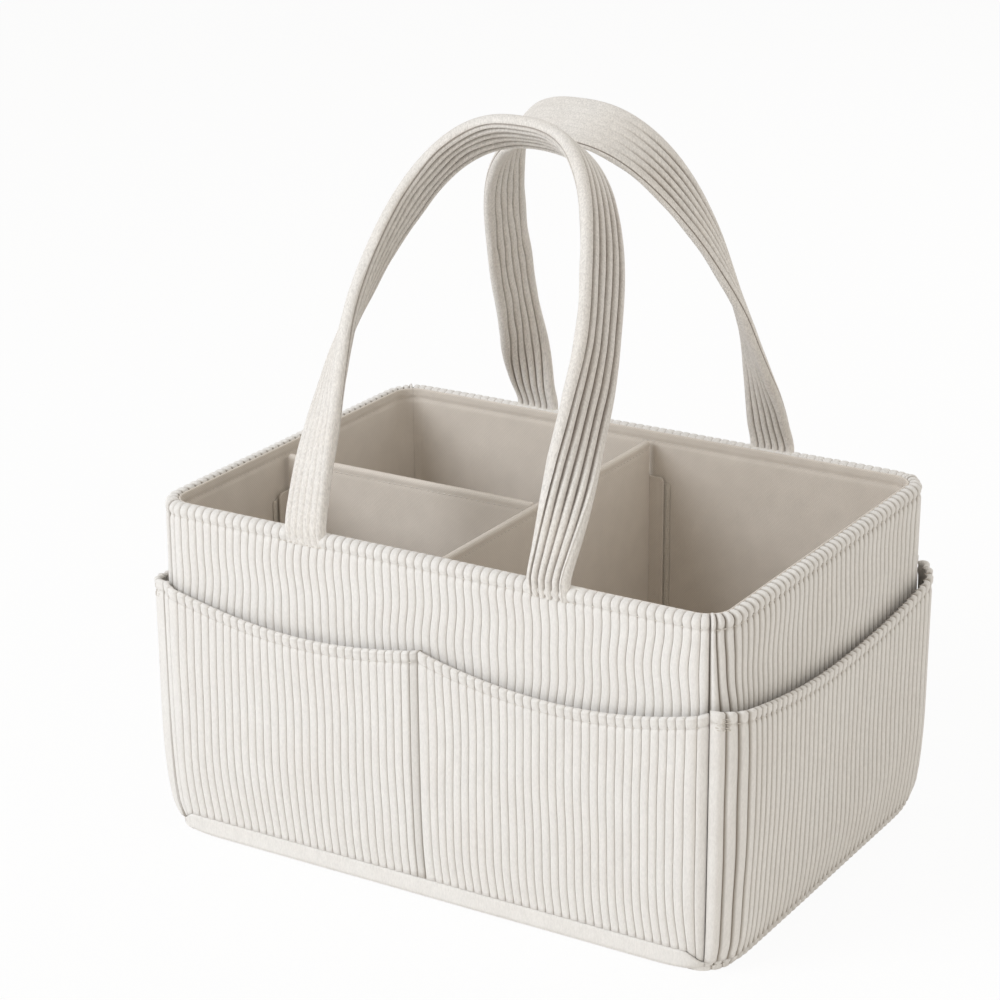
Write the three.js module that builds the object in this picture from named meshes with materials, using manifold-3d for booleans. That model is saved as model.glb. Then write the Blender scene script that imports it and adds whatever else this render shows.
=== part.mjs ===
// Diaper caddy: a soft corduroy box on boards, with outer pockets, two padded handles and a lift-out divider.
// Millimetres, +Z up. X runs along the length, the front faces -Y, and the origin is on the floor under the middle.
import * as THREE from 'three';
import { mergeVertices } from 'three/addons/utils/BufferGeometryUtils.js';
import Module from 'manifold-3d';

// Body, measured over the corduroy wall above the pockets
const bodyLength = 380;
const bodyWidth = 271;
const bodyHeight = 212;
const cornerRadius = 22; // of an upright corner, seen from above
const seamAngle = THREE.MathUtils.degToRad(32); // how far the front panel turns into the corner before its seam
const fitGap = 0.3; // left between pieces that touch
const cutOverrun = 2; // how far a cutting solid runs past what it cuts

// Layers of the wall, from outside in
const corduroyThickness = 3;
const boardThickness = 3.5;
const liningThickness = 1.8;
const liningDrop = 0.8; // the lining's top edge below the rim
const boardCorner = 6; // rounded corners of the wall boards

// Base: a tray of corduroy folded up round the foot of the walls, higher on the long sides than at the ends
const baseThickness = 3;
const baseFoldHeight = 13;
const endFoldHeight = 6;
const baseFoldRadius = 3;
const floorBoardThickness = 3.5;

// Pockets: sewn down at the sides and the foot, standing proud above
const pocketStand = 8; // outer face at the hem, in front of the wall
const pocketHem = 160; // height of the hem at its ends
const pocketDip = 14; // how far the hem dips in the middle
const pocketClothThickness = 2.4;
const pocketSideSeam = 4; // width of the sewn-down side edge
const pocketFootSeam = 3; // height of the sewn-down bottom edge
const hemFold = 9; // height of the folded hem
const hemRelief = 0.6; // extra thickness of the folded hem
const pocketRiseShares = [0.1, 0.24, 0.45, 0.7]; // heights up the pocket where its bulge is set
const pocketStandShares = [0.35, 0.65, 0.88, 0.97]; // how far it has come out at those heights
const pocketSeamStandShare = 0.6; // how far it stands out at the side seams

// Handles: padded straps that arch over the middle, built upright here and leant over as a whole
const handleWidth = 35;
const handleThickness = 8;
const handleEdgeRadius = 3.4;
const sleeveThickness = 2;
const handleHalfSpan = 85.5; // the arch's centreline at its widest, from the middle
const handleWidestHeight = 46; // where it is widest, above the hinge line
const handleRise = 194; // from there to the top of the arch
const archFullness = 0.76; // 1 is an ellipse, less has fuller shoulders
const handleBow = 8; // how far the legs bow outward, half way up
const handleTopOffset = 24; // the top of the arch, when the handle leans, from the middle of the caddy
const handleLevelHeight = 40; // up to here its edges run level with the hinge line
const channelPitch = 5.6; // between the quilted channels that run along the strap
const channelWidth = 1.8;
const channelDepth = 0.8;
const channelMargin = 6; // smooth edge of the strap, outside the channels
const plainFaceShares = [0.25, 0, -0.25]; // places across a face without channels, of its width
const hingeInset = 2.5; // the line the strap folds about, behind the wall's outer face
const tabLength = 25; // strap end sewn into the wall

// Divider insert: cloth sleeves over thin boards, held by hook and loop tape
const dividerClothThickness = 1;
const dividerBoardThickness = 2;
const dividerDrop = 6; // its top edge below the rim
const dividerOffset = 1.5; // right of the middle
const wingOffset = 12; // the wing in front of the middle
const tapeThickness = 1;
const hookWidth = 16;
const loopWidth = 30;
const loopReach = 70; // length along the left wall of the wing's loop tape
const tapeLength = 140;
const tapeFoot = 30; // above the floor
const tapeCorner = 2;
const flapThickness = 1.2; // the sleeve's end flap that carries the hook tape
const flapMargin = 4; // the flap beyond the tape

// How finely curves are stepped
const cornerStep = 8; // along a wall, round a corner; every layer turns in the same steps
const flatStep = 30; // along a pocket
const roundingSteps = 3; // in the rounding of the rim and of the base
const archSteps = 28;
const sleeveCornerSteps = 2;
const coreCornerSteps = 1;
const plateCornerSteps = 1;
const arcSteps = 4;

const quarterTurn = Math.PI / 2;
const halfTurn = Math.PI;

// Places in the wall and floor, worked out from the layers. Outset is measured outward from the wall's outer face.
const boardOutset = -(corduroyThickness + fitGap);
const boardInnerOutset = boardOutset - boardThickness;
const liningOutset = boardInnerOutset - fitGap;
const liningInnerOutset = liningOutset - liningThickness;
const wallFoot = baseThickness + fitGap;
const wallBoardFoot = wallFoot + floorBoardThickness + fitGap;
const floorTop = wallBoardFoot + liningThickness;
const wallBoardTop = bodyHeight - corduroyThickness - fitGap;
const baseOutset = fitGap + corduroyThickness;

// Places of the divider's tapes, inward from the wall's outer face
const loopInset = fitGap - liningInnerOutset;
const hookInset = loopInset + tapeThickness + fitGap;
const flapInset = hookInset + tapeThickness + fitGap;
const dividerHalf = dividerBoardThickness / 2 + fitGap + dividerClothThickness;
const dividerTop = bodyHeight - dividerDrop;
const dividerFoot = floorTop + fitGap;

const wasm = await Module();
wasm.setup();

const corduroy = new THREE.MeshStandardMaterial({ color: 0xe6e1da, roughness: 0.95, metalness: 0 });
const liningCloth = new THREE.MeshStandardMaterial({ color: 0xddd5cb, roughness: 0.9, metalness: 0 });
const greyBoard = new THREE.MeshStandardMaterial({ color: 0xb9b2a6, roughness: 0.85, metalness: 0 });
const softCore = new THREE.MeshStandardMaterial({ color: 0xf2f0ea, roughness: 0.9, metalness: 0 });
const tape = new THREE.MeshStandardMaterial({ color: 0xece8e0, roughness: 0.8, metalness: 0 });

// The four walls. Each is made facing -Y and turned into place. halfFlat is its straight part, reach is
// how far out its corners' centres lie, seam is how far its panel turns into the corners, and pocketFoot
// is the height of its pockets' bottom edge.
const longWall = {
  halfFlat: bodyLength / 2 - cornerRadius,
  reach: bodyWidth / 2 - cornerRadius,
  seam: seamAngle,
  pocketFoot: baseFoldHeight + fitGap,
};
const endWall = {
  halfFlat: bodyWidth / 2 - cornerRadius,
  reach: bodyLength / 2 - cornerRadius,
  seam: quarterTurn - seamAngle,
  pocketFoot: endFoldHeight + fitGap,
};
const walls = [
  { name: 'front', turn: 0, ...longWall },
  { name: 'right', turn: quarterTurn, ...endWall },
  { name: 'back', turn: halfTurn, ...longWall },
  { name: 'left', turn: -quarterTurn, ...endWall },
];

const caddy = new THREE.Group();

function add(name, geometry, material, parent = caddy) {
  const mesh = new THREE.Mesh(geometry, material);
  mesh.name = name;
  parent.add(mesh);
  return mesh;
}

// A closed solid from its points and triangles, turned to face outward
function closedSolid(positions, triangles) {
  let volume = 0;
  const corners = [new THREE.Vector3(), new THREE.Vector3(), new THREE.Vector3()];
  for (const triangle of triangles) {
    triangle.forEach((index, k) => corners[k].fromArray(positions, 3 * index));
    volume += corners[0].dot(corners[1].clone().cross(corners[2]));
  }
  const outward = volume > 0 ? triangles : triangles.map((triangle) => triangle.toReversed());
  const geometry = new THREE.BufferGeometry();
  geometry.setAttribute('position', new THREE.Float32BufferAttribute(positions, 3));
  geometry.setIndex(outward.flat());
  return geometry;
}

// Triangles that fill an outline, wound as the outline is
function fillOutline(outline) {
  const wound = Math.sign(THREE.ShapeUtils.area(outline));
  return THREE.ShapeUtils.triangulateShape(outline, []).map((triangle) => {
    const area = THREE.ShapeUtils.area(triangle.map((index) => outline[index]));
    return Math.sign(area) === wound ? triangle : triangle.toReversed();
  });
}

// A solid through a row of closed sections of equal count. place(i, point) puts a point of section i in space.
function loft(sections, place) {
  const count = sections[0].length;
  const positions = sections.flatMap((section, i) => section.flatMap((point) => place(i, point).toArray()));
  const triangles = [];
  for (let i = 0; i + 1 < sections.length; i++) {
    for (let j = 0; j < count; j++) {
      const here = i * count + j;
      const beside = i * count + ((j + 1) % count);
      triangles.push([here, beside, beside + count], [here, beside + count, here + count]);
    }
  }
  const last = (sections.length - 1) * count;
  for (const triangle of fillOutline(sections[0])) triangles.push(triangle.toReversed());
  for (const triangle of fillOutline(sections.at(-1))) triangles.push(triangle.map((index) => index + last));
  return closedSolid(positions, triangles);
}

function toManifold(geometry) {
  const bare = geometry.clone();
  bare.deleteAttribute('normal');
  bare.deleteAttribute('uv');
  const merged = mergeVertices(bare);
  const vertProperties = new Float32Array(merged.attributes.position.array);
  const triVerts = new Uint32Array(merged.index.array);
  return new wasm.Manifold(new wasm.Mesh({ numProp: 3, vertProperties, triVerts }));
}

function fromManifold(solid) {
  const { vertProperties, triVerts } = solid.getMesh();
  const geometry = new THREE.BufferGeometry();
  geometry.setAttribute('position', new THREE.BufferAttribute(vertProperties, 3));
  geometry.setIndex(new THREE.BufferAttribute(triVerts, 1));
  return geometry;
}

function subtract(geometry, ...cutters) {
  return fromManifold(cutters.reduce((solid, cutter) => solid.subtract(toManifold(cutter)), toManifold(geometry)));
}

function join(geometry, ...others) {
  return fromManifold(others.reduce((solid, other) => solid.add(toManifold(other)), toManifold(geometry)));
}

// Evenly spaced values from one to another, both included
function spread(from, to, step) {
  const steps = Math.max(1, Math.ceil((to - from) / step));
  return Array.from({ length: steps + 1 }, (unused, i) => from + ((to - from) * i) / steps);
}

// Runs from knot to knot, with each stretch stepped by the function's own measure
function spreadBetween(knots, stepOf) {
  return knots.slice(1).reduce((values, knot, i) => {
    const from = knots[i];
    return values.concat(spread(from, knot, stepOf((from + knot) / 2)).slice(1));
  }, [knots[0]]);
}

// The point of a wall's line at a distance along it from its middle: straight, then round its corners
function wallStation(wall, along) {
  const past = Math.max(Math.abs(along) - wall.halfFlat, 0);
  const x = THREE.MathUtils.clamp(along, -wall.halfFlat, wall.halfFlat);
  return { along, x, y: -wall.reach, angle: (Math.sign(along) * past) / cornerRadius };
}

function wallPoint(station, outset, height) {
  const radius = cornerRadius + outset;
  const x = station.x + radius * Math.sin(station.angle);
  const y = station.y - radius * Math.cos(station.angle);
  return new THREE.Vector3(x, y, height);
}

// Stations of a panel from one place along the wall to another, drawn in at each end by half a gap
function panelStations(wall, from, to, { step = wall.halfFlat * 2, extras = [], drawnIn = fitGap / 2 } = {}) {
  const marks = [from, -wall.halfFlat, wall.halfFlat, to, ...extras];
  const knots = [...new Set(marks.filter((mark) => mark >= from && mark <= to))].sort((a, b) => a - b);
  const stepOf = (middle) => (Math.abs(middle) > wall.halfFlat ? cornerStep : step);
  const stations = spreadBetween(knots, stepOf).map((along) => wallStation(wall, along));
  const ends = [[stations[0], drawnIn], [stations.at(-1), -drawnIn]];
  for (const [station, shift] of ends) {
    station.x += shift * Math.cos(station.angle);
    station.y += shift * Math.sin(station.angle);
  }
  return stations;
}

function panelEnd(wall) {
  return wall.halfFlat + cornerRadius * wall.seam;
}

// A panel whose section is a closed outline of outset and height at each station
function panel(stations, sectionOf) {
  return loft(stations.map(sectionOf), (i, point) => wallPoint(stations[i], point.x, point.y));
}

// Outer corduroy: an upright leg, rounded over at the rim and folded in over the board
function wallPanel(wall) {
  const top = bodyHeight - corduroyThickness;
  const rounding = spread(0, quarterTurn, quarterTurn / roundingSteps).map((turned) => new THREE.Vector2(
    -corduroyThickness * (1 - Math.cos(turned)),
    top + corduroyThickness * Math.sin(turned),
  ));
  const section = [
    new THREE.Vector2(0, wallFoot),
    ...rounding,
    new THREE.Vector2(boardInnerOutset, bodyHeight),
    new THREE.Vector2(boardInnerOutset, top),
    new THREE.Vector2(-corduroyThickness, top),
    new THREE.Vector2(-corduroyThickness, wallFoot),
  ];
  return panel(panelStations(wall, -panelEnd(wall), panelEnd(wall)), () => section);
}

function wallLining(wall) {
  const section = [
    new THREE.Vector2(liningOutset, wallBoardFoot),
    new THREE.Vector2(liningOutset, bodyHeight - liningDrop),
    new THREE.Vector2(liningInnerOutset, bodyHeight - liningDrop),
    new THREE.Vector2(liningInnerOutset, wallBoardFoot),
  ];
  return panel(panelStations(wall, -panelEnd(wall), panelEnd(wall)), () => section);
}

// A pocket from one place along the wall to another, closed at its sides and foot and open at its hem
function pocket(wall, from, to) {
  const seamEnd = pocketSideSeam + pocketClothThickness;
  const extras = [from + pocketSideSeam, from + seamEnd, to - seamEnd, to - pocketSideSeam];
  const stations = panelStations(wall, from, to, { step: flatStep, extras });
  const middle = (from + to) / 2;
  const half = (to - from) / 2;
  return panel(stations, (station) => {
    const across = Math.min(Math.abs(station.along - middle) / half, 1);
    const hem = pocketHem - pocketDip * (1 - across ** 2);
    const sewn = half - Math.abs(station.along - middle) < (pocketSideSeam + seamEnd) / 2;
    const stand = (pocketStand - baseOutset) * (sewn ? pocketSeamStandShare : 1);
    const full = baseOutset + stand;
    const inside = (point) => new THREE.Vector2(sewn ? fitGap : point.x - pocketClothThickness, point.y);
    const foot = [0, pocketFootSeam].map((rise) => new THREE.Vector2(baseOutset, wall.pocketFoot + rise));
    const outer = pocketRiseShares.map((share, k) => new THREE.Vector2(
      baseOutset + stand * pocketStandShares[k],
      wall.pocketFoot + (hem - wall.pocketFoot) * share,
    ));
    const hemBottom = new THREE.Vector2(full, hem - hemFold);
    const lip = new THREE.Vector2(full, hem);
    const fold = [
      new THREE.Vector2(full + hemRelief, hem - hemFold + hemRelief),
      new THREE.Vector2(full + hemRelief, hem - hemRelief),
    ];
    const sewnFoot = foot.toReversed().map((point) => point.clone().setX(fitGap));
    return [
      ...foot, ...outer, hemBottom, ...fold, lip,
      inside(lip), inside(hemBottom), ...outer.toReversed().map(inside), ...sewnFoot,
    ];
  });
}

// The plan of the body, rounded at its corners, at some outset from the wall's outer face
function bodyOutline(outset) {
  return walls.flatMap((wall) => {
    const places = spreadBetween([-panelEnd(wall), -wall.halfFlat, wall.halfFlat, panelEnd(wall)],
      (middle) => (Math.abs(middle) > wall.halfFlat ? cornerStep : 2 * wall.halfFlat));
    return places.slice(1).map((along) => {
      const point = wallPoint(wallStation(wall, along), outset, 0);
      return new THREE.Vector2(point.x, point.y).rotateAround(new THREE.Vector2(), wall.turn);
    });
  });
}

// A solid stacked from the body's plan at pairs of outset and height
function stackedOutlines(levels) {
  const place = (i, point) => new THREE.Vector3(point.x, point.y, levels[i][1]);
  return loft(levels.map(([outset]) => bodyOutline(outset)), place);
}

function basePanel() {
  const fold = spread(0, quarterTurn, quarterTurn / roundingSteps).map((turned) => [
    baseOutset - baseFoldRadius * (1 - Math.sin(turned)),
    baseFoldRadius * (1 - Math.cos(turned)),
  ]);
  const tray = stackedOutlines([
    ...fold,
    [baseOutset, baseFoldHeight],
    [fitGap, baseFoldHeight],
    [fitGap, baseThickness],
  ]);
  return subtract(tray, ...walls.filter((wall) => wall.pocketFoot < baseFoldHeight).map(endFoldCut));
}

// What is cut from the fold above an end wall, from seam to seam
function endFoldCut(wall) {
  const section = [
    new THREE.Vector2(-cutOverrun, endFoldHeight),
    new THREE.Vector2(baseOutset + cutOverrun, endFoldHeight),
    new THREE.Vector2(baseOutset + cutOverrun, baseFoldHeight + cutOverrun),
    new THREE.Vector2(-cutOverrun, baseFoldHeight + cutOverrun),
  ];
  const stations = panelStations(wall, -panelEnd(wall), panelEnd(wall), { drawnIn: -fitGap / 2 });
  return panel(stations, () => section).rotateZ(wall.turn);
}

// An upright rounded plate: its middle at x = 0, its thickness from y = 0 inward, its foot at z = 0
function uprightPlate(width, height, thickness, radius) {
  const half = width / 2;
  const shape = new THREE.Shape();
  shape.moveTo(-half + radius, 0);
  shape.lineTo(half - radius, 0);
  shape.absarc(half - radius, radius, radius, -quarterTurn, 0);
  shape.lineTo(half, height - radius);
  shape.absarc(half - radius, height - radius, radius, 0, quarterTurn);
  shape.lineTo(-half + radius, height);
  shape.absarc(-half + radius, height - radius, radius, quarterTurn, halfTurn);
  shape.lineTo(-half, radius);
  shape.absarc(-half + radius, radius, radius, halfTurn, halfTurn + quarterTurn);
  const plate = new THREE.ExtrudeGeometry(shape, { depth: thickness, bevelEnabled: false, curveSegments: plateCornerSteps });
  return plate.rotateX(quarterTurn).translate(0, thickness, 0);
}

// A plate that stands in a wall: at a distance along it, an inset from its outer face and a height
function wallPlate(wall, along, inset, height, plate) {
  return plate.translate(along, -(wall.reach + cornerRadius) + inset, height).rotateZ(wall.turn);
}

// Where a handle's foot meets the wall, and half its length along the hinge line
const handleFootTurn = Math.acos(-handleWidestHeight / handleRise);
const handleFoot = handleHalfSpan * Math.sin(handleFootTurn) ** archFullness;
const handleFeet = [['left', -handleFoot], ['right', handleFoot]];

function wallBoard(wall, notched) {
  const width = 2 * (wall.halfFlat - fitGap);
  const height = wallBoardTop - wallBoardFoot;
  const plate = uprightPlate(width, height, boardThickness, boardCorner);
  const board = wallPlate({ ...wall, turn: 0 }, 0, -boardOutset, wallBoardFoot, plate);
  if (!notched) return board.rotateZ(wall.turn);
  const notchWidth = handleWidth + 2 * fitGap;
  const notches = handleFeet.map(([, along]) => {
    const cut = uprightPlate(notchWidth, tabLength + cutOverrun, boardThickness + 2 * cutOverrun, fitGap);
    const foot = bodyHeight - tabLength - fitGap;
    return wallPlate({ ...wall, turn: 0 }, along, -boardOutset - cutOverrun, foot, cut);
  });
  return subtract(board, ...notches).rotateZ(wall.turn);
}

// The strap end that is sewn into a notch of the board and comes up through the folded rim
const tabThickness = boardThickness - 2 * fitGap;
const tabInset = fitGap - boardOutset;

function strapTab(wall, along) {
  const plate = uprightPlate(handleWidth, tabLength, tabThickness, fitGap);
  return wallPlate(wall, along, tabInset, bodyHeight - tabLength, plate);
}

function slottedWallPanel(wall) {
  const slots = handleFeet.map(([, along]) => {
    const reach = boardThickness + cutOverrun;
    const cut = uprightPlate(handleWidth + 2 * fitGap, corduroyThickness + 2 * cutOverrun, reach, fitGap);
    return wallPlate({ ...wall, turn: 0 }, along, -boardOutset, bodyHeight - corduroyThickness - cutOverrun, cut);
  });
  return subtract(wallPanel(wall), ...slots);
}

// The lean that brings the top of the arch to its place beside the middle of the caddy
const archHeight = handleWidestHeight + handleRise;
const handleLean = Math.asin((bodyWidth / 2 - hingeInset - handleTopOffset) / archHeight);

// The strap's centreline, upright over the hinge line, with the direction away from the middle of the arch
function archPoint(turn) {
  const side = Math.sign(turn);
  const fromTop = Math.abs(Math.sin(turn));
  const height = handleWidestHeight + handleRise * Math.cos(turn);
  const share = THREE.MathUtils.clamp(height / archHeight, 0, 1);
  const bow = handleBow * Math.sin(halfTurn * share) ** 2;
  const point = new THREE.Vector3(side * handleHalfSpan * fromTop ** archFullness, -bow, height);
  const outward = new THREE.Vector3(
    side * handleRise * fromTop ** (2 - archFullness), 0, handleHalfSpan * archFullness * Math.cos(turn),
  ).normalize();
  return { point, outward };
}

// How the strap's section lies at a place on the arch: flat on the front at its foot, a quarter turned at the top
function strapFrame({ point, outward }) {
  const sideways = new THREE.Vector3(Math.sign(point.x), 0, 0);
  const level = 1 - THREE.MathUtils.smoothstep(point.z, 0, handleLevelHeight);
  const away = outward.clone().lerp(sideways, level).normalize();
  const front = new THREE.Vector3(0, -1, 0);
  const twist = quarterTurn * Math.sin(quarterTurn * THREE.MathUtils.clamp(point.z / archHeight, 0, 1));
  const across = away.clone().multiplyScalar(Math.cos(twist)).addScaledVector(front, -Math.sin(twist));
  const face = front.clone().multiplyScalar(Math.cos(twist)).addScaledVector(away, Math.sin(twist));
  return { point, across, face };
}

// The strap's section: four rounded corners, with the points of a face between each two wide ones
function strapSection(width, thickness, radius, cornerSteps, facePoints) {
  const corners = [[1, -1, -quarterTurn], [1, 1, 0], [-1, 1, quarterTurn], [-1, -1, halfTurn]];
  return corners.flatMap(([sideX, sideY, from]) => {
    const turns = spread(from, from + quarterTurn, quarterTurn / cornerSteps);
    const rounding = turns.map((turned) => new THREE.Vector2(
      sideX * (width / 2 - radius) + radius * Math.cos(turned),
      sideY * (thickness / 2 - radius) + radius * Math.sin(turned),
    ));
    const face = facePoints.map(({ across, depth }) => new THREE.Vector2(
      sideX * across,
      sideY * (thickness / 2 - depth),
    ));
    return sideX === sideY ? [...rounding, ...face] : rounding;
  });
}

function plainFace(width) {
  return plainFaceShares.map((share) => ({ across: share * width, depth: 0 }));
}

// A face with as many channels as fit between its smooth edges
function channelledFace(width) {
  const steps = Math.floor((width - 2 * channelMargin) / channelPitch);
  const middles = Array.from({ length: steps + 1 }, (unused, i) => (steps / 2 - i) * channelPitch);
  return middles.flatMap((middle) => [
    { across: middle + channelWidth / 2, depth: 0 },
    { across: middle, depth: channelDepth },
    { across: middle - channelWidth / 2, depth: 0 },
  ]);
}

// A strap over the arch. Each foot carries on straight down by the drops given, with the thickness given there.
function strap({ width, thickness, radius, cornerSteps, facePoints = plainFace(width), feet = [] }) {
  const frames = spread(-handleFootTurn, handleFootTurn, (2 * handleFootTurn) / archSteps)
    .map((turn) => ({ ...strapFrame(archPoint(turn)), thickness }));
  const below = (frame) => feet.map((foot) => ({
    ...frame,
    point: frame.point.clone().setZ(frame.point.z - foot.drop),
    thickness: foot.thickness,
  }));
  const all = [...below(frames[0]).toReversed(), ...frames, ...below(frames.at(-1))];
  const sections = all.map((frame) => {
    const rounding = Math.min(radius, frame.thickness / 2);
    return strapSection(width, frame.thickness, rounding, cornerSteps, facePoints);
  });
  return loft(sections, (i, point) => all[i].point.clone()
    .addScaledVector(all[i].across, point.x)
    .addScaledVector(all[i].face, point.y));
}

const coreWidth = handleWidth - 2 * (sleeveThickness + fitGap);
const coreThickness = handleThickness - 2 * (sleeveThickness + fitGap);

function handleSleeve() {
  const outside = { width: handleWidth, thickness: handleThickness, radius: handleEdgeRadius };
  const inside = {
    width: handleWidth - 2 * sleeveThickness,
    thickness: handleThickness - 2 * sleeveThickness,
    radius: handleEdgeRadius - sleeveThickness,
  };
  const runOut = [{ drop: cutOverrun, thickness: inside.thickness }];
  return subtract(
    strap({ ...outside, cornerSteps: sleeveCornerSteps, facePoints: channelledFace(handleWidth) }),
    strap({ ...inside, cornerSteps: coreCornerSteps, feet: runOut }),
  );
}

// The core ends in a round foot about the hinge line, so that the handle folds without touching the rim
function handleCore() {
  const radius = handleThickness / 2;
  const widest = Math.asin(coreThickness / 2 / radius);
  const feet = spread(0, widest, widest / arcSteps).slice(1).reverse().map((turned) => ({
    drop: radius * Math.cos(turned),
    thickness: 2 * radius * Math.sin(turned),
  }));
  const rounding = handleEdgeRadius - sleeveThickness;
  return strap({ width: coreWidth, thickness: coreThickness, radius: rounding, cornerSteps: coreCornerSteps, feet });
}

// A slab with a round top edge, standing across the caddy along Y and centred on x = 0
function roundTopSlab(half, foot, from, to) {
  const edge = dividerTop - dividerHalf;
  const shape = new THREE.Shape();
  shape.moveTo(-half, foot);
  shape.lineTo(half, foot);
  shape.lineTo(half, edge);
  shape.absarc(0, edge, half, 0, halfTurn);
  shape.lineTo(-half, foot);
  const slab = new THREE.ExtrudeGeometry(shape, { depth: to - from, bevelEnabled: false, curveSegments: arcSteps });
  return slab.rotateX(quarterTurn).translate(0, to, 0);
}

const cavityHalf = dividerHalf - dividerClothThickness;
const dividerReach = bodyWidth / 2 - flapInset;
const flapWidth = hookWidth + 2 * flapMargin;
const flapFoot = floorTop + tapeFoot - flapMargin;

function endFlap(along, inset) {
  const plate = uprightPlate(flapWidth, tapeLength + 2 * flapMargin, flapThickness, tapeCorner);
  return wallPlate({ ...longWall, turn: 0 }, along, inset, flapFoot, plate);
}

function centerDividerCover() {
  const sleeve = roundTopSlab(dividerHalf, dividerFoot, -dividerReach, dividerReach);
  const inside = dividerReach - dividerClothThickness;
  const cavity = roundTopSlab(cavityHalf, dividerFoot - cutOverrun, -inside, inside);
  const frontFlap = endFlap(0, flapInset);
  const backFlap = frontFlap.clone().rotateZ(halfTurn);
  return subtract(join(sleeve, frontFlap, backFlap), cavity).translate(dividerOffset, 0, 0);
}

function centerDividerBoard() {
  const inside = dividerReach - dividerClothThickness - fitGap;
  const board = roundTopSlab(dividerBoardThickness / 2, dividerFoot, -inside, inside);
  return board.translate(dividerOffset, 0, 0);
}

// The wing turns about an upright line at its near edge, which is round in plan
const wingHinge = dividerOffset - dividerHalf - fitGap - dividerHalf;
const wingReach = bodyLength / 2 - flapInset;

// Made along Y like the centre divider, then turned so that its far end points to the left wall
function layWing(geometry) {
  return geometry.rotateZ(-quarterTurn).translate(0, -wingOffset, 0);
}

function nearEdge() {
  const post = new THREE.CylinderGeometry(dividerHalf, dividerHalf, dividerTop - dividerHalf - dividerFoot, 4 * arcSteps);
  const middle = (dividerTop - dividerHalf + dividerFoot) / 2;
  const crown = new THREE.SphereGeometry(dividerHalf, 4 * arcSteps, 2 * arcSteps).rotateX(quarterTurn);
  const round = join(post.rotateX(quarterTurn).translate(0, 0, middle), crown.translate(0, 0, dividerTop - dividerHalf));
  return round.translate(0, wingHinge, 0);
}

function wingCover() {
  const sleeve = roundTopSlab(dividerHalf, dividerFoot, -wingReach, wingHinge);
  const inside = wingReach - dividerClothThickness;
  const cavity = roundTopSlab(cavityHalf, dividerFoot - cutOverrun, -inside, wingHinge - dividerClothThickness);
  const flap = endFlap(0, flapInset).translate(0, dividerReach - wingReach, 0);
  return layWing(subtract(join(sleeve, nearEdge(), flap), cavity));
}

function wingBoard() {
  const near = wingHinge - dividerClothThickness - fitGap;
  const far = wingReach - dividerClothThickness - fitGap;
  return layWing(roundTopSlab(dividerBoardThickness / 2, dividerFoot, -far, near));
}

function tapeStrip(wall, along, inset, width) {
  const strip = uprightPlate(width, tapeLength, tapeThickness, tapeCorner);
  return wallPlate(wall, along, inset, floorTop + tapeFoot, strip);
}

for (const wall of walls) {
  const carriesHandle = wall.turn === 0 || wall.turn === halfTurn;
  const cover = carriesHandle ? slottedWallPanel(wall) : wallPanel(wall);
  add(`${wall.name}_panel`, cover.rotateZ(wall.turn), corduroy);
  add(`${wall.name}_board`, wallBoard(wall, carriesHandle), greyBoard);
  add(`${wall.name}_lining`, wallLining(wall).rotateZ(wall.turn), liningCloth);
  if (!carriesHandle) {
    add(`${wall.name}_pocket`, pocket(wall, -panelEnd(wall), panelEnd(wall)).rotateZ(wall.turn), corduroy);
    continue;
  }
  const sides = wall.turn === 0 ? ['left', 'right'] : ['right', 'left'];
  add(`${wall.name}_pocket_${sides[0]}`, pocket(wall, -panelEnd(wall), 0).rotateZ(wall.turn), corduroy);
  add(`${wall.name}_pocket_${sides[1]}`, pocket(wall, 0, panelEnd(wall)).rotateZ(wall.turn), corduroy);
  handleFeet.forEach(([, along], i) => {
    add(`${wall.name}_handle_${sides[i]}_tab`, strapTab(wall, along), softCore);
  });
  const stand = new THREE.Group();
  stand.rotation.z = wall.turn;
  const handle = new THREE.Group();
  handle.rotation.x = -handleLean;
  handle.position.set(0, hingeInset - bodyWidth / 2, bodyHeight + fitGap + handleThickness / 2);
  add(`${wall.name}_handle_sleeve`, handleSleeve(), corduroy, handle);
  add(`${wall.name}_handle_core`, handleCore(), softCore, handle);
  stand.add(handle);
  caddy.add(stand);
  const across = wall.turn === 0 ? dividerOffset : -dividerOffset;
  add(`${wall.name}_loop_strip`, tapeStrip(wall, across, loopInset, loopWidth), tape);
  add(`${wall.name}_hook_strip`, tapeStrip(wall, across, hookInset, hookWidth), tape);
}

add('base_panel', basePanel(), corduroy);
add('base_board', stackedOutlines([[boardOutset, wallFoot], [boardOutset, wallFoot + floorBoardThickness]]), greyBoard);
const floorOutset = liningInnerOutset - fitGap;
add('base_lining', stackedOutlines([[floorOutset, wallBoardFoot], [floorOutset, floorTop]]), liningCloth);

const leftWall = walls[3];
add('center_divider_cover', centerDividerCover(), liningCloth);
add('center_divider_board', centerDividerBoard(), greyBoard);
add('wing_divider_cover', wingCover(), liningCloth);
add('wing_divider_board', wingBoard(), greyBoard);
add('wing_hook_strip', tapeStrip(leftWall, wingOffset, hookInset, hookWidth), tape);
add('left_loop_strip', tapeStrip(leftWall, wingOffset + loopWidth / 2 - loopReach / 2, loopInset, loopReach), tape);

export default caddy;
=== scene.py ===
# Diaper caddy in cream corduroy: the cloth, handles, divider, seams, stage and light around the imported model.
import math

import bpy
import numpy as np
from mathutils import Matrix, Vector


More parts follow.
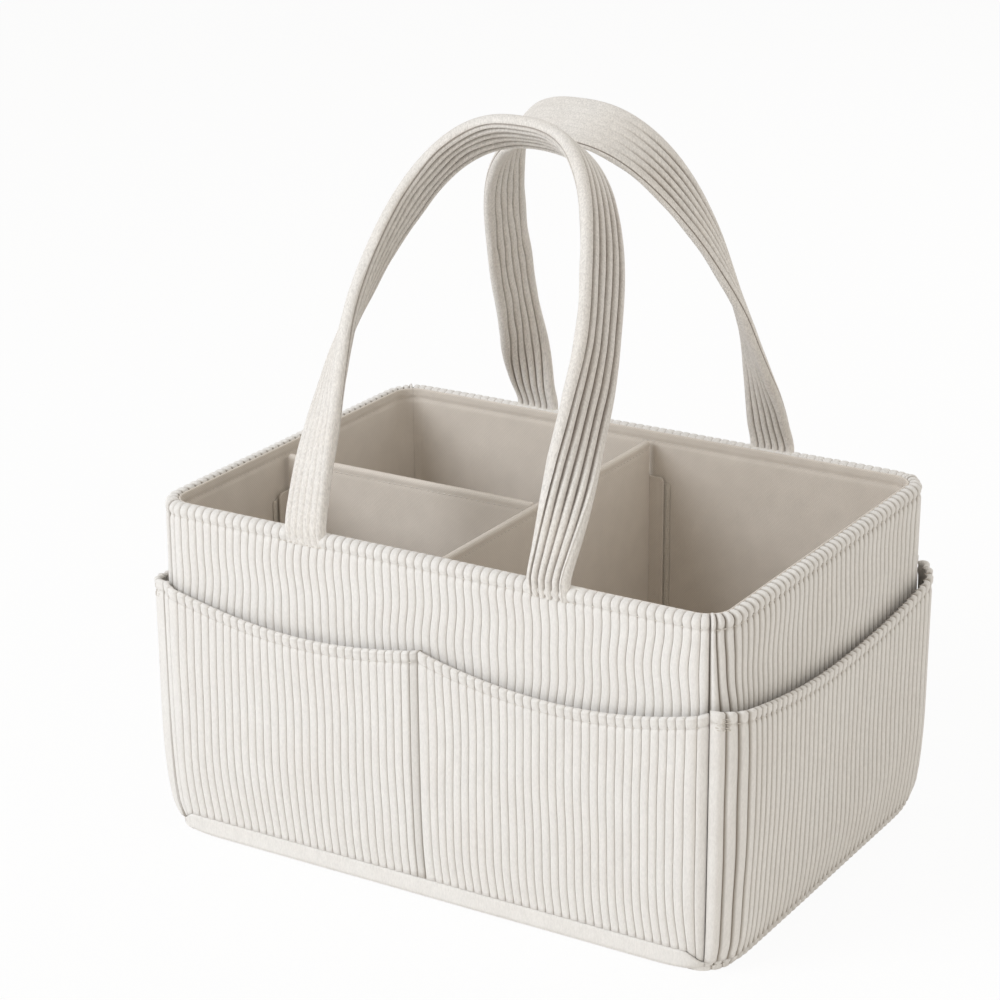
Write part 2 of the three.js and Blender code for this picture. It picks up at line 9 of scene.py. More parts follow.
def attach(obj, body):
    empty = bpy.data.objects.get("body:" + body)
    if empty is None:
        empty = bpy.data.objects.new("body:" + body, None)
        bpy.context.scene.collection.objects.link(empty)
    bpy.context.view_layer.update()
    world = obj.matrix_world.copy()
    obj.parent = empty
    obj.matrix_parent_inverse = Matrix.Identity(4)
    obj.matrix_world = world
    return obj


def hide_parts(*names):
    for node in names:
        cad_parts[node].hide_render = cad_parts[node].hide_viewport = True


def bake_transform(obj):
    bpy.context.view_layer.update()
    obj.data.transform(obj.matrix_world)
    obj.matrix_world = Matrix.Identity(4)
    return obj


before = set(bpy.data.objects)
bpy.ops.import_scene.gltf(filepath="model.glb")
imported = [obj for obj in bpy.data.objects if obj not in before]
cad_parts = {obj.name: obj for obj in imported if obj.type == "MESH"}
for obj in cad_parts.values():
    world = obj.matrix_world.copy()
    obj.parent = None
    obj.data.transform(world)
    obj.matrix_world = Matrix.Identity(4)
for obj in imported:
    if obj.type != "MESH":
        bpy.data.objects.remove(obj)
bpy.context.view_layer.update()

scene = bpy.context.scene
mm = 0.001  # everything below is worked out in millimetres


def addObject(name, data):
    made = bpy.data.objects.new(name, data)
    scene.collection.objects.link(made)
    return made


# Camera, at the photograph's angle
camera = {
    "turn": 31.568, "tilt": 19.873, "roll": -0.416, "distance": 1889.954,
    "target": (-92.699, 99.181, 156.214), "lens": 105.697, "sensor": 36,
    "clip": (0.05, 50),  # metres
}


def addCamera():
    turn, tilt, roll = (math.radians(camera[key]) for key in ("turn", "tilt", "roll"))
    back = Vector((math.sin(turn) * math.cos(tilt), -math.cos(turn) * math.cos(tilt), math.sin(tilt)))
    right = Vector((math.cos(turn), math.sin(turn), 0))
    up = back.cross(right)
    rolledRight = right * math.cos(roll) + up * math.sin(roll)
    rolledUp = up * math.cos(roll) - right * math.sin(roll)
    data = bpy.data.cameras.new("camera")
    data.lens = camera["lens"]
    data.sensor_width = camera["sensor"]
    data.clip_start, data.clip_end = camera["clip"]
    place = Matrix((rolledRight, rolledUp, back)).transposed().to_4x4()
    place.translation = (Vector(camera["target"]) + back * camera["distance"]) * mm
    scene.camera = addObject("camera", data)
    scene.camera.matrix_world = place


addCamera()
print("camera set")


# Small shared helpers
join = np.concatenate


def ramp(low, high, value):
    share = np.clip((value - low) / (high - low), 0, 1)
    return share * share * (3 - 2 * share)


def bell(value, middle, width):
    return np.exp(-(((value - middle) / width) ** 2))


def wander(a, b, seed=0.0):  # a slow, smooth wobble between -1 and 1
    return (np.sin(a + 1.7 * b + seed) + np.sin(1.63 * a - 1.1 * b + 2.3 * seed)
            + np.sin(2.9 * b - 0.57 * a + 1.9 * seed)) / 3


def pairs(first, second):
    return np.stack(np.broadcast_arrays(first, second), -1)


def unit(vectors):
    return vectors / np.linalg.norm(vectors, axis=-1)[..., None]


def threeRuns(end, flat, outerCount, innerCount):  # places from -end to end, closer together outside the flat part
    outer = np.linspace(flat, end, outerCount)
    return join([-outer[::-1], np.linspace(-flat, flat, innerCount)[1:-1], outer])


def toLinear(code):
    values = [int(code[i:i + 2], 16) / 255 for i in (0, 2, 4)]
    return (*[v / 12.92 if v <= 0.04045 else ((v + 0.055) / 1.055) ** 2.4 for v in values], 1)


def nodeName(name):  # frontPocketLeft here is front_pocket_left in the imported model
    return "".join("_" + letter.lower() if letter.isupper() else letter for letter in name)


def makePiece(name, points, faces, material, pile=None, flat=None, sharp=50):
    points = np.asarray(points, float)
    corners = np.array([(f[0], f[k], f[k + 1]) for f in faces for k in range(1, len(f) - 1)])
    a, b, c = (points[corners[:, k]] for k in range(3))
    if np.einsum("ij,ij->", a, np.cross(b, c)) < 0:  # inside out
        faces = [f[::-1] for f in faces]
    mesh = bpy.data.meshes.new(name)
    mesh.from_pydata((points * mm).tolist(), [], faces)
    mesh.shade_smooth()
    mesh.set_sharp_from_angle(angle=math.radians(sharp))
    if pile is not None:
        mesh.attributes.new("pile", "FLOAT", "POINT").data.foreach_set("value", np.ravel(pile))
    if flat is not None:
        order = np.empty(len(mesh.loops), int)
        mesh.loops.foreach_get("vertex_index", order)
        mesh.uv_layers.new(name="cloth").data.foreach_set("uv", np.ravel(flat.reshape(-1, 2)[order] * mm))
    mesh.materials.append(material)
    return addObject(name, mesh)


def loft(name, sections, material, loop=False, pile=None, flat=None, sharp=50):  # sections: stations x points x 3
    count, size = sections.shape[:2]
    i = np.arange(count if loop else count - 1)[:, None]
    j = np.arange(size)[None, :]
    here, beside = i * size + j, i * size + (j + 1) % size
    ahead, across = (i + 1) % count * size + j, (i + 1) % count * size + (j + 1) % size
    faces = np.stack([here, ahead, across, beside], -1).reshape(-1, 4).tolist()
    if not loop:
        faces += [list(range(size)), list(range((count - 1) * size, count * size))[::-1]]
    return makePiece(name, sections.reshape(-1, 3), faces, material, pile, flat, sharp)


def dress(piece, slotName, *nodes, rides="caddy"):  # nodes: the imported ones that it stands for
    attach(piece, rides)
    if nodes:
        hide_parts(*nodes)


# Materials
def addNode(tree, kind, inputs=None, output=0, **settings):  # each input is a value or another node's output
    node = tree.nodes.new(kind)
    for key, value in settings.items():
        setattr(node, key, value)
    for key, value in (inputs or {}).items():
        if isinstance(value, bpy.types.NodeSocket):
            tree.links.new(value, node.inputs[key])
        else:
            node.inputs[key].default_value = value
    return node.outputs[output] if node.outputs else None


def newMaterial(name):
    material = bpy.data.materials.new(name)
    material.use_nodes = True
    tree = material.node_tree
    tree.nodes.clear()
    return material, tree, addNode(tree, "ShaderNodeTexCoord", output="Object")


def noise(tree, place, size, detail, roughness=0.5):  # size in mm
    return addNode(tree, "ShaderNodeTexNoise", {"Vector": place, "Scale": 1 / (size * mm), "Detail": detail,
                                                "Roughness": roughness})


def remap(tree, value, low, high, newLow=0.0, newHigh=1.0):
    return addNode(tree, "ShaderNodeMapRange", {"Value": value, "From Min": low, "From Max": high,
                                                "To Min": newLow, "To Max": newHigh})


def calculate(tree, operation, first, second):
    return addNode(tree, "ShaderNodeMath", {0: first, 1: second}, operation=operation)


def mixColours(tree, share, low, high, blend="MIX"):  # each a colour code or another node's output
    low, high = (toLinear(end) if isinstance(end, str) else end for end in (low, high))
    return addNode(tree, "ShaderNodeMixRGB", {"Fac": share, "Color1": low, "Color2": high}, blend_type=blend)


def makeShader(tree, colour, surface, height=None, depth=0, strength=0.5):
    inputs = {"Base Color": colour, **surface}
    if height is not None:
        relief = {"Height": height, "Strength": strength, "Distance": depth * mm}
        inputs["Normal"] = addNode(tree, "ShaderNodeBump", relief)
    return addNode(tree, "ShaderNodeBsdfPrincipled", inputs)


def setOutput(tree, shader):
    addNode(tree, "ShaderNodeOutputMaterial", {"Surface": shader})


corduroyLook = {
    # groove: the colour of painted shade in the grooves, creases and seams
    "ridge": "EDEBE7", "warmRidge": "E9E5E0", "groove": "877B6C",
    "fullyLit": 0.75,  # from this much painted light up the cloth has the ridge's colour; below it the groove colour mixes in as painted shade
    "napSize": 0.9,  # mm, one tuft of the cut pile
    "napStretch": 0.35,
    "patchSize": 26,  # mm, where the pile lies another way
    "strokeSize": 5, "fleck": (0.91, 1.05), "brushed": (0.975, 1.015), "tuftDepth": 0.4,
    "surface": {"Roughness": 0.95, "Specular IOR Level": 0.2, "Sheen Weight": 0.25, "Sheen Roughness": 0.6},
}
strapLook = {  # handled most, rubbed rougher; its darker groove colour is painted shade in the deep sewn channels and edge seams
    **corduroyLook,
    "ridge": "EEEBE6",
    "warmRidge": "EAE4DC",
    "groove": "655140",
    "fleck": (0.76, 1.13),
    "tuftDepth": 0.8,
}


def makeCorduroy(name, look):  # cut-pile cotton corduroy: matt, soft ridges, fibres that scatter light at the edges
    material, tree, place = newMaterial(name)
    stretched = addNode(tree, "ShaderNodeMapping", {"Vector": place, "Scale": (1, 1, look["napStretch"])})
    nap = noise(tree, stretched, look["napSize"], 3.0, 0.65)
    fleck = remap(tree, nap, 0.25, 0.75, *look["fleck"])
    brushed = remap(tree, noise(tree, stretched, look["strokeSize"], 3.0), 0.3, 0.7, *look["brushed"])
    ridge = mixColours(tree, noise(tree, place, look["patchSize"], 2.0), look["ridge"], look["warmRidge"])
    ridge = mixColours(tree, 1.0, ridge, calculate(tree, "MULTIPLY", fleck, brushed), "MULTIPLY")
    # painted shade: where the painted light attribute is low, the cloth takes the groove colour
    pile = addNode(tree, "ShaderNodeAttribute", output="Fac", attribute_name="pile")
    cloth = mixColours(tree, remap(tree, pile, 0.0, look["fullyLit"]), look["groove"], ridge)
    setOutput(tree, makeShader(tree, cloth, look["surface"], nap, look["tuftDepth"]))
    return material


weaveLook = {
    "thread": "E7E1D8", "gap": "D9D0C5",
    "threads": 0.31 / 0.8,  # drawn twice as coarse as real, to show
    "slubSize": 14, "slub": (0.96, 1.02), "depth": 0.2, "strength": 0.35,
    "surface": {"Roughness": 0.85, "Specular IOR Level": 0.25, "Sheen Weight": 0.1},
}


def makeWeave(name, look):  # plain weave: crossing threads, matt
    material, tree, place = newMaterial(name)
    threads = {"Vector": place, "Scale": look["threads"] / mm, "Distortion": 0.6, "Detail": 1.0}
    weave = calculate(tree, "MULTIPLY", *(addNode(tree, "ShaderNodeTexWave", threads, "Fac", bands_direction=way)
                                          for way in ("Z", "DIAGONAL")))
    tone = remap(tree, noise(tree, place, look["slubSize"], 3.0), 0.3, 0.7, *look["slub"])
    colour = mixColours(tree, 1.0, mixColours(tree, weave, look["gap"], look["thread"]), tone, "MULTIPLY")
    setOutput(tree, makeShader(tree, colour, look["surface"], weave, look["depth"], look["strength"]))
    return material


def makeSpeckled(name, base, fleck, size, roughness, depth):  # pressed or felted stuff with small flecks
    material, tree, place = newMaterial(name)
    grain = noise(tree, place, size, 4.0, 0.7)
    colour = mixColours(tree, remap(tree, grain, 0.35, 0.7), fleck, base)
    setOutput(tree, makeShader(tree, colour, {"Roughness": roughness}, grain, depth))
    return material


cottonCorduroy = makeCorduroy("cottonCorduroy", corduroyLook)
quiltedCorduroy = makeCorduroy("quiltedCorduroy", strapLook)
cottonTwill = makeWeave("cottonTwill", weaveLook)
polyesterThread = makeSpeckled("polyesterThread", "DDD8D0", "CBC4BA", 0.6, 0.55, 0.05)  # twisted sewing thread
loopTape = makeSpeckled("brushedLoopTape", "E4DED4", "CFC7BB", 0.7, 0.95, 0.4)  # soft brushed nylon loops
hookTape = makeSpeckled("mouldedHookTape", "E8E3DA", "D6CFC4", 1.1, 0.5, 0.5)  # stiff nylon, a little shine
greyBoard = makeSpeckled("pressedGreyBoard", "B9B2A6", "9F978B", 1.4, 0.85, 0.15)  # pulp board, flecked
foamCore = makeSpeckled("polyesterWadding", "F2F0EA", "E2DED6", 1.2, 0.9, 0.3)  # felted fibre filling
print("materials made")


# The four walls. Along runs from the middle of a wall, outset from the face of the wall's cloth.
body = {
    "length": 380, "width": 271, "height": 212, "corner": 22, "seamTurn": math.radians(32),
    "footRound": (8, 24, 16),  # the corners' rounded foot: how far in, from what height, how far along
    "seamGap": 0.08, "footGap": 0.3,
}
halfLength, halfWidth = body["length"] / 2, body["width"] / 2
bandHeights = {"long": 13, "end": 6}


def wall(name, turn):
    kind = "long" if name in ("front", "back") else "end"
    half, depth, seam = {
        "long": (halfLength, halfWidth, body["seamTurn"]),
        "end": (halfWidth, halfLength, math.pi / 2 - body["seamTurn"]),
    }[kind]
    flat = half - body["corner"]
    return {"name": name, "kind": kind, "turn": turn, "flat": flat, "reach": depth - body["corner"],
            "end": flat + body["corner"] * seam, "foot": bandHeights[kind] + body["footGap"]}


quarterTurns = {"front": 0, "right": 1, "back": 2, "left": -1}
walls = {name: wall(name, turns * math.pi / 2) for name, turns in quarterTurns.items()}


def onWall(side, along, outset, height):
    along, outset, height = np.broadcast_arrays(along, outset, height)
    past = np.maximum(np.abs(along) - side["flat"], 0) / body["corner"]
    turned = np.sign(along) * past
    inward, rise, run = body["footRound"]
    fromCorner = np.abs(along) - side["flat"] - body["corner"] * math.pi / 4
    drawn = inward * (1 - np.sqrt(1 - np.clip(1 - height / rise, 0, 1) ** 2)) * bell(fromCorner, 0, run)
    radius = body["corner"] + outset - drawn
    x = np.clip(along, -side["flat"], side["flat"]) + radius * np.sin(turned)
    y = -side["reach"] - radius * np.cos(turned)
    c, s = math.cos(side["turn"]), math.sin(side["turn"])
    return np.stack([c * x - s * y, s * x + c * y, height], -1)


waleSamples = np.array((0, 0.04, 0.1, 0.2, 0.34, 0.5, 0.66, 0.8, 0.9, 0.96))
waleKinds = {  # the long sides' ridges are drawn flat and broad, the ends' stand up rounder with open grooves
    # grooveTone: how light the painted shade in the grooves stays; the ends' grooves take the darkest painted shade
    "long": {"depth": 1.5, "squareness": 3.4, "crown": 0.62, "grooveTone": 0.52},
    "end": {"depth": 2.0, "squareness": 2.0, "crown": 0.9, "grooveTone": 0.0},
}


def waleShape(phase, kind="long"):  # 0 in the groove, 1 on the ridge
    kind = waleKinds[kind]
    return (1 - np.abs(2 * phase - 1) ** kind["squareness"]) ** kind["crown"]


def waleStations(start, end, count, kind, margins=(0, 0)):  # a margin is an edge rolled into one broad ridge
    edges = np.linspace(start + margins[0], end - margins[1], count + 1)
    if margins[0]:
        edges = np.append(start, edges)
    if margins[1]:
        edges = np.append(edges, end)
    along = edges[:-1, None] + waleSamples * np.diff(edges)[:, None]
    shape = np.tile(waleShape(waleSamples, kind), len(edges) - 1)
    return np.append(along.ravel(), end), np.append(shape, 0)


# painted shade: the colour darkens from the ridge into the groove
def grooveTones(kind, shape):
    return kind["grooveTone"] + (1 - kind["grooveTone"]) * shape


# Outer walls: ridged cloth, turned in over the rim and sewn down just under it
wallCloth = {
    "wales": {"long": 66, "end": 45}, "thickness": 3, "foot": 3.3, "foldReach": 6.8,
    "foldRound": 1.2, "rimRadius": 4.2, "rimRows": 7, "stitchDrop": 7.4, "stitchPinch": 0.9,
    # stitchTone and seamTone: painted shade in the crease under the rim's stitches and along the corner seams
    "stitchTone": 0.35, "seamDip": 1.2, "seamTone": 0.5,
    "cornerRoll": 0.9,  # the end walls' cloth swells beside the corner seams
    "cornerLean": 3.2,  # and its ridges lean towards them under the rim
    "leanRun": 12, "leanHeights": (150, 206),
    "shown": (118, 128),  # below this the pockets hide the wall
    # innerTone: painted shade on the turned-in inner face
    "hiddenOutset": -1.0, "innerTone": 0.6, "seamWidth": 1.2, "pinchWidth": 1.5,
    "sway": 1.5, "swayHeights": (130, 150), "calmHeights": (196, 208),
}
stitchedRidge = 0.45  # how much of their depth the grooves lose under a line of stitches


def wallSway(side, along, height):  # the ridges wander sideways under the rim
    distance = side["end"] - np.abs(along)
    share = ramp(*wallCloth["swayHeights"], height) * (1 - 0.75 * ramp(*wallCloth["calmHeights"], height))
    sway = wallCloth["sway"] * wander(along / 33, height / 17, side["turn"] + 1) * share * ramp(0, 14, distance)
    if side["kind"] == "end":
        run = distance / wallCloth["leanRun"]
        lean = run * np.exp(1 - run) * ramp(*wallCloth["leanHeights"], height)
        sway = sway + wallCloth["cornerLean"] * lean * np.sign(along)
    return sway


def wallPinch(height):
    return bell(height, body["height"] - wallCloth["stitchDrop"], wallCloth["pinchWidth"])


def wallOutset(side, along, height):
    distance = side["end"] - np.abs(along)
    outset = 0.35 + 0.5 * wander(along / 37, height / 45, side["turn"]) * ramp(0, 20, distance)
    outset = outset - wallCloth["stitchPinch"] * wallPinch(height)
    outset = outset - wallCloth["seamDip"] * bell(distance, 0, wallCloth["seamWidth"])
    if side["kind"] == "end":
        outset = outset + wallCloth["cornerRoll"] * bell(distance, 4.5, 3.2)
    return outset


def makeWall(side):
    end = side["end"] - body["seamGap"]
    along, shape = waleStations(-end, end, wallCloth["wales"][side["kind"]], side["kind"])
    kind = waleKinds[side["kind"]]
    radius, top, foot = wallCloth["rimRadius"], body["height"], wallCloth["foot"]
    fold, inner, thick = wallCloth["foldReach"], wallCloth["foldRound"], wallCloth["thickness"]
    leg = join([[foot, 40, 80, 110, 122], np.arange(128, 194, 4.0), np.arange(194, top - radius, 1.2)])
    rows = [(0, z, 1, 0) for z in leg]  # outset and height, and the way out from there
    rows += [(-radius * (1 - math.cos(a)), top - radius + radius * math.sin(a), math.cos(a), math.sin(a))
             for a in np.radians(np.linspace(0, 90, wallCloth["rimRows"]))]
    rows += [(-fold + inner - inner * math.sin(a), top - inner + inner * math.cos(a), -math.sin(a), math.cos(a))
             for a in np.radians((0, 45, 90))]
    ridged = len(rows)
    rows += [(-fold, top - 3, 0, 0), (-thick, top - 3, 0, 0), (-thick, foot, 0, 0)]
    base, height, outX, outZ = (np.array(column, float) for column in zip(*rows))
    a, z, shape = along[:, None], height[None, :], shape[:, None]
    shown = ramp(*wallCloth["shown"], z)
    onOuter = np.arange(len(rows)) < ridged
    relief = wallOutset(side, a, z) - kind["depth"] * (1 - shape) * (1 - stitchedRidge * wallPinch(z))
    relief = relief + 0.35 * bell(z, top - 3.4, 2.4) * shape
    relief = np.where(onOuter, relief * shown + wallCloth["hiddenOutset"] * (1 - shown), 0)
    relief[:, len(leg) + wallCloth["rimRows"]:ridged] *= 0.5
    sway = np.where(onOuter, wallSway(side, a, z), 0)
    points = onWall(side, a + sway, base + outX * relief, z + outZ * relief)
    # painted shade: the colour darkens in the grooves, in the stitch crease under the rim, on the turned-in inner face
    # and at the corner seams
    pile = grooveTones(kind, shape) * (1 - wallCloth["stitchTone"] * wallPinch(z))
    pile = np.where(onOuter, pile, wallCloth["innerTone"])
    pile = pile * (1 - wallCloth["seamTone"] * bell(side["end"] - np.abs(a), 0, wallCloth["seamWidth"]))
    piece = loft(side["name"] + "Wall", points, cottonCorduroy, pile=pile, flat=pairs(a, z), sharp=70)
    dress(piece, "corduroy", side["name"] + "_panel")


for side in walls.values():
    makeWall(side)
print("walls made")


# Base band: the bottom cloth turned up round the foot, ridged along the long sides and across at the short ones
band = {
    "outset": 2.0, "round": 4.2,
    "grooves": ((2.3, 0.5, 0.4), (8.6, 0.2, 0.7)),  # height, depth and width
    "reach": -12, "wales": 43, "tuck": 12, "cutHeight": 27,
}


# Pockets: sewn at the sides and the foot, with a folded hem that dips in the middle
pocketCloth = {
    "thickness": 2.4, "wales": {"long": 33, "end": 43}, "stand": {"long": 7.4, "end": 9.0},
    "footReach": 8, "bellyHeight": {"long": 27, "end": 22}, "billow": 0.9, "stitchDrop": 7,
    # stitchTone, middleTone and innerTone: painted shade in the hem's stitch crease, along the middle seam and on the
    # pocket's inside
    "stitchPinch": 0.8, "stitchTone": 0.35, "lip": 1.7, "seamRun": 7, "seamWidth": 0.8,
    "cornerKeep": 0.8, "middleTone": 0.4, "edgeRoll": 6.5,
    "seamDips": (0.25, 0.1),  # how deep the seams lie, at a corner and in the middle
    "roll": (3.3, 2.8), "pinchWidth": 1.3, "shadeWidth": 10, "innerTone": 0.5,
}
pocketKeys = ("wall", "from", "to", "hem", "dip", "seamTone", "keep", "shade", "roll")
pocketRows = {  # keep: how far it stands out still at its seams; seamTone: painted shade along its corner seams; shade: how much painted shade darkens it beside the middle seam
    "frontPocketLeft": ("front", -1, 0, (163, 158), 11.5, 0.1, 0.82, 0.38, 0),
    "frontPocketRight": ("front", 0, 1, (158, 159), 12.5, 0.25, 0.96, 0, 0),
    "backPocketRight": ("back", -1, 0, (160, 158), 12, 0.25, 0.82, 0.38, 0),
    "backPocketLeft": ("back", 0, 1, (158, 161), 12, 0.1, 0.96, 0, 0),
    "rightPocket": ("right", -1, 1, (162, 157), 15.5, 0.25, 0.9, 0, 1.2),
    "leftPocket": ("left", -1, 1, (158, 163), 15, 0.1, 0.77, 0, 0.5),
}
pockets = {name: dict(zip(pocketKeys, row)) for name, row in pocketRows.items()}


def footHeight(side, along):  # the base's band is tucked away towards the corners of the long sides
    high, low = bandHeights["long"], bandHeights["end"]
    if side["kind"] == "end":
        return low + 0 * along
    return high - (high - low) * (1 - ramp(0, band["tuck"], side["end"] - np.abs(along)))


def pocketSpan(pocket):
    side = walls[pocket["wall"]]
    return side, pocket["from"] * side["end"], pocket["to"] * side["end"]


def hemHeight(pocket, along):
    start, end = pocketSpan(pocket)[1:]
    share = (along - start) / (end - start)
    low, high = pocket["hem"]
    return low + (high - low) * share - pocket["dip"] * (1 - (2 * share - 1) ** 2)


def hemPinch(pocket, along, height):
    return bell(height, hemHeight(pocket, along) - pocketCloth["stitchDrop"], pocketCloth["pinchWidth"])


def pocketOutset(pocket, along, height):
    side, start, end = pocketSpan(pocket)
    kind = side["kind"]
    rise = height - side["foot"] + pocketCloth["footReach"]
    near = np.minimum(along - start, end - along)
    outset = pocketCloth["stand"][kind] * (1 - np.exp(-rise / pocketCloth["bellyHeight"][kind]))
    billow = wander(along / 41, height / 52, start / 90 + side["turn"]) * ramp(0, 26, near)
    outset = outset + pocketCloth["billow"] * billow * ramp(10, 50, rise)
    corner = np.abs(np.where(along - start < end - along, start, end)) > 1  # at a corner, not the middle seam
    keep = np.where(corner, pocketCloth["cornerKeep"], pocket["keep"])
    if kind == "end":
        keep = pocket["keep"]
        outset = outset + pocket["roll"] * bell(near, *pocketCloth["roll"])
    outset = outset * (keep + (1 - keep) * ramp(0, pocketCloth["seamRun"], near))
    outset = outset - np.where(corner, *pocketCloth["seamDips"]) * bell(near, 0, pocketCloth["seamWidth"])
    return outset - pocketCloth["stitchPinch"] * hemPinch(pocket, along, height)


def pocketSway(pocket, along, height):
    side, start, end = pocketSpan(pocket)
    near = np.minimum(along - start, end - along)
    foot = bell(height, side["foot"], 14)
    return (0.9 * wander(along / 29, height / 31, start / 50 + 2) + 0.8 * foot) * ramp(0, 16, near)


def makePocket(name, pocket):
    side, start, end = pocketSpan(pocket)
    gap = [body["seamGap"] if abs(edge) > 1 else body["seamGap"] / 4 for edge in (start, end)]
    roll = pocketCloth["edgeRoll"]
    margins = (roll, roll) if side["kind"] == "end" else (roll if pocket["from"] == 0 else 0, 0)
    wales = pocketCloth["wales"][side["kind"]]
    along, shape = waleStations(start + gap[0], end - gap[1], wales, side["kind"], margins)
    kind = waleKinds[side["kind"]]
    a, shape = along[:, None], shape[:, None]
    hem = hemHeight(pocket, a)
    foot, lip = footHeight(side, a) + body["footGap"], pocketCloth["lip"]
    lower = join([[0, 0.012, 0.03, 0.055], np.linspace(0.09, 1, 13)])
    outerZ = join([foot + (hem - 13 - foot) * lower, hem - np.arange(12, lip, -1.0)], 1)
    pinch = hemPinch(pocket, a, outerZ)
    curl = ramp(0, 5, outerZ - foot)
    ease = 0.35 + 0.65 * ramp(0, 2.6, side["end"] - np.abs(a))  # the ridges sink away into a corner seam
    relief = kind["depth"] * (1 - shape) * (1 - stitchedRidge * pinch) * (0.45 + 0.55 * curl) * ease
    outer = pocketOutset(pocket, a, outerZ) - relief + 0.4 * bell(outerZ, hem - 3, 2.2) * shape
    arc = np.radians(np.linspace(0, 180, 9))[None, :]
    lipO = outer[:, -1:] - lip + (lip + 0.25 * shape) * np.cos(arc)
    lipZ = hem - lip + lip * np.sin(arc) - 0.75 * kind["depth"] * (1 - shape) * np.sin(arc)
    innerShares = np.array([0.85, 0.6, 0.35, 0.15, 0.04, 0])
    innerZ = join([hem - np.array([4.0, 8.0, 11.0]), foot + (hem - 14 - foot) * innerShares], 1)
    innerO = pocketOutset(pocket, a, innerZ) - pocketCloth["thickness"] - 0.6 * bell(innerZ, hem, 11)
    height = join([outerZ, lipZ, innerZ], 1)
    outset = join([outer, lipO, np.maximum(innerO, -0.6)], 1)
    points = onWall(side, a + pocketSway(pocket, a, height), outset, height)
    near = np.minimum(a - start, end - a)
    rolled = (a - start < margins[0]) | (end - a < margins[1])
    # painted shade: the colour darkens in the grooves, in the hem's stitch crease, near the foot, on the inside, along
    # the seams and beside the middle seam
    tone = 1 - (1 - grooveTones(kind, shape ** np.where(rolled, 0.3, 1))) * ease
    pile = join([
        tone * (1 - pocketCloth["stitchTone"] * pinch) * (0.6 + 0.4 * curl),
        np.repeat(tone, lipO.shape[1], 1),
        np.full(innerO.shape, pocketCloth["innerTone"]),
    ], 1)
    seamTone = np.where(side["end"] - np.abs(a) < 10, pocket["seamTone"], pocketCloth["middleTone"])
    pile = pile * (1 - seamTone * bell(near, 0, pocketCloth["seamWidth"]))
    pile = pile * (1 - pocket["shade"] * bell(a, 0, pocketCloth["shadeWidth"]))
    piece = loft(name, points, cottonCorduroy, pile=pile, flat=pairs(a, height), sharp=70)
    dress(piece, "corduroy", nodeName(name))


for name, pocket in pockets.items():
    makePocket(name, pocket)
print("pockets made")


# Base: the band and the underside
def makeBand():
    radius, outset, reach = band["round"], band["outset"], band["reach"]
    foot = [(reach, 0.25, 0), (-2.5, 0.1, 0)]  # outset, height and how much relief it takes
    foot += [(outset - radius + radius * math.sin(a), radius * (1 - math.cos(a)), math.sin(a))
             for a in np.radians(np.linspace(0, 90, 14))]
    footOut, footZ, footWeight = np.array(foot).T
    shares = np.linspace(0.0, 1.0, 10)[1:]
    profile = join([footOut, outset + 0 * shares, outset - np.array([0.4, 1.3, 2.1]), [0.1, reach]])
    weight = join([footWeight, 1 + 0 * shares, [0.7, 0.3, 0, 0, 0]])
    sections, paintedLights, flats = [], [], []
    for side in walls.values():
        long, end, flat = side["kind"] == "long", side["end"], side["flat"]
        if long:
            knots = join([np.arange(-end, -flat, 1.5), np.linspace(-flat, flat, 57)])
            along = join([knots, -knots[knots < -flat][::-1]])
        else:
            rolls = (pocketCloth["edgeRoll"],) * 2
            along, shape = (line[:-1, None] for line in waleStations(-end, end, band["wales"], "end", rolls))
        a = along.reshape(-1, 1)
        high, near = footHeight(side, a), end - np.abs(a)
        height = join([footZ + 0 * a, radius + (high - 1.2 - radius) * shares, high - np.array([0.3, 0, 0.4]),
                       np.full((len(a), 2), 3.0)], 1)
        dent = 0.25 * wander(a / 31, height / 9, side["turn"]) * weight
        if long:
            for z, depth, width in band["grooves"]:
                dent = dent - depth * bell(height, z, width) * weight * ramp(2, 14, near)
            dent = dent - 0.7 * bell(near, 0, 2.0) * weight
            # painted shade: the colour darkens in the long sides' grooves
            lengthwise = sum(bell(height, z, width) * depth for z, depth, width in band["grooves"])
            paintedLights.append(np.clip(1 - lengthwise * 0.8, 0, 1))
        else:
            dent = dent - waleKinds["end"]["depth"] * (1 - shape) * weight * ramp(0, 8, near)
            # painted shade: the colour darkens in the ends' grooves
            paintedLights.append(0.35 + 0.65 * shape + 0 * height)
        sections.append(onWall(side, a, profile + dent, height))
        flats.append(pairs(a, height))
    return loft("baseBand", join(sections), cottonCorduroy, loop=True, pile=join(paintedLights), flat=join(flats), sharp=70)


planEdge = 0.9995  # of the half width: a hair less, so that no face of a plan shell shrinks to nothing


def planShell(name, outset, topOf, footOf, lines, columns, material, paintedLightOf=None):
    # a thin plate in the plan of the body: lines run along X, rounded off at the corners
    halfX, halfY, corner = halfLength + outset, halfWidth + outset, body["corner"] + outset
    y = halfY * lines
    over = np.clip(np.abs(y) - (halfY - corner), 0, corner * planEdge)
    reach = halfX - corner + np.sqrt(corner ** 2 - over ** 2)
    x = reach[:, None] * np.linspace(-1, 1, columns)[None, :]
    y = np.repeat(y[:, None], columns, 1)
    top = np.stack([x, y, topOf(x, y)], -1)
    foot = np.stack([x, y, footOf(x, y)], -1)[:, ::-1]
    points = join([top, foot], 1)
    pile = None if paintedLightOf is None else paintedLightOf(points[..., 0], points[..., 1])
    return loft(name, points, material, pile=pile, flat=points[..., :2], sharp=60)


underside = {"wales": 48, "outset": -2.2, "depth": 1.0, "top": 2.9, "foot": 0.05, "cut": (376, 267)}


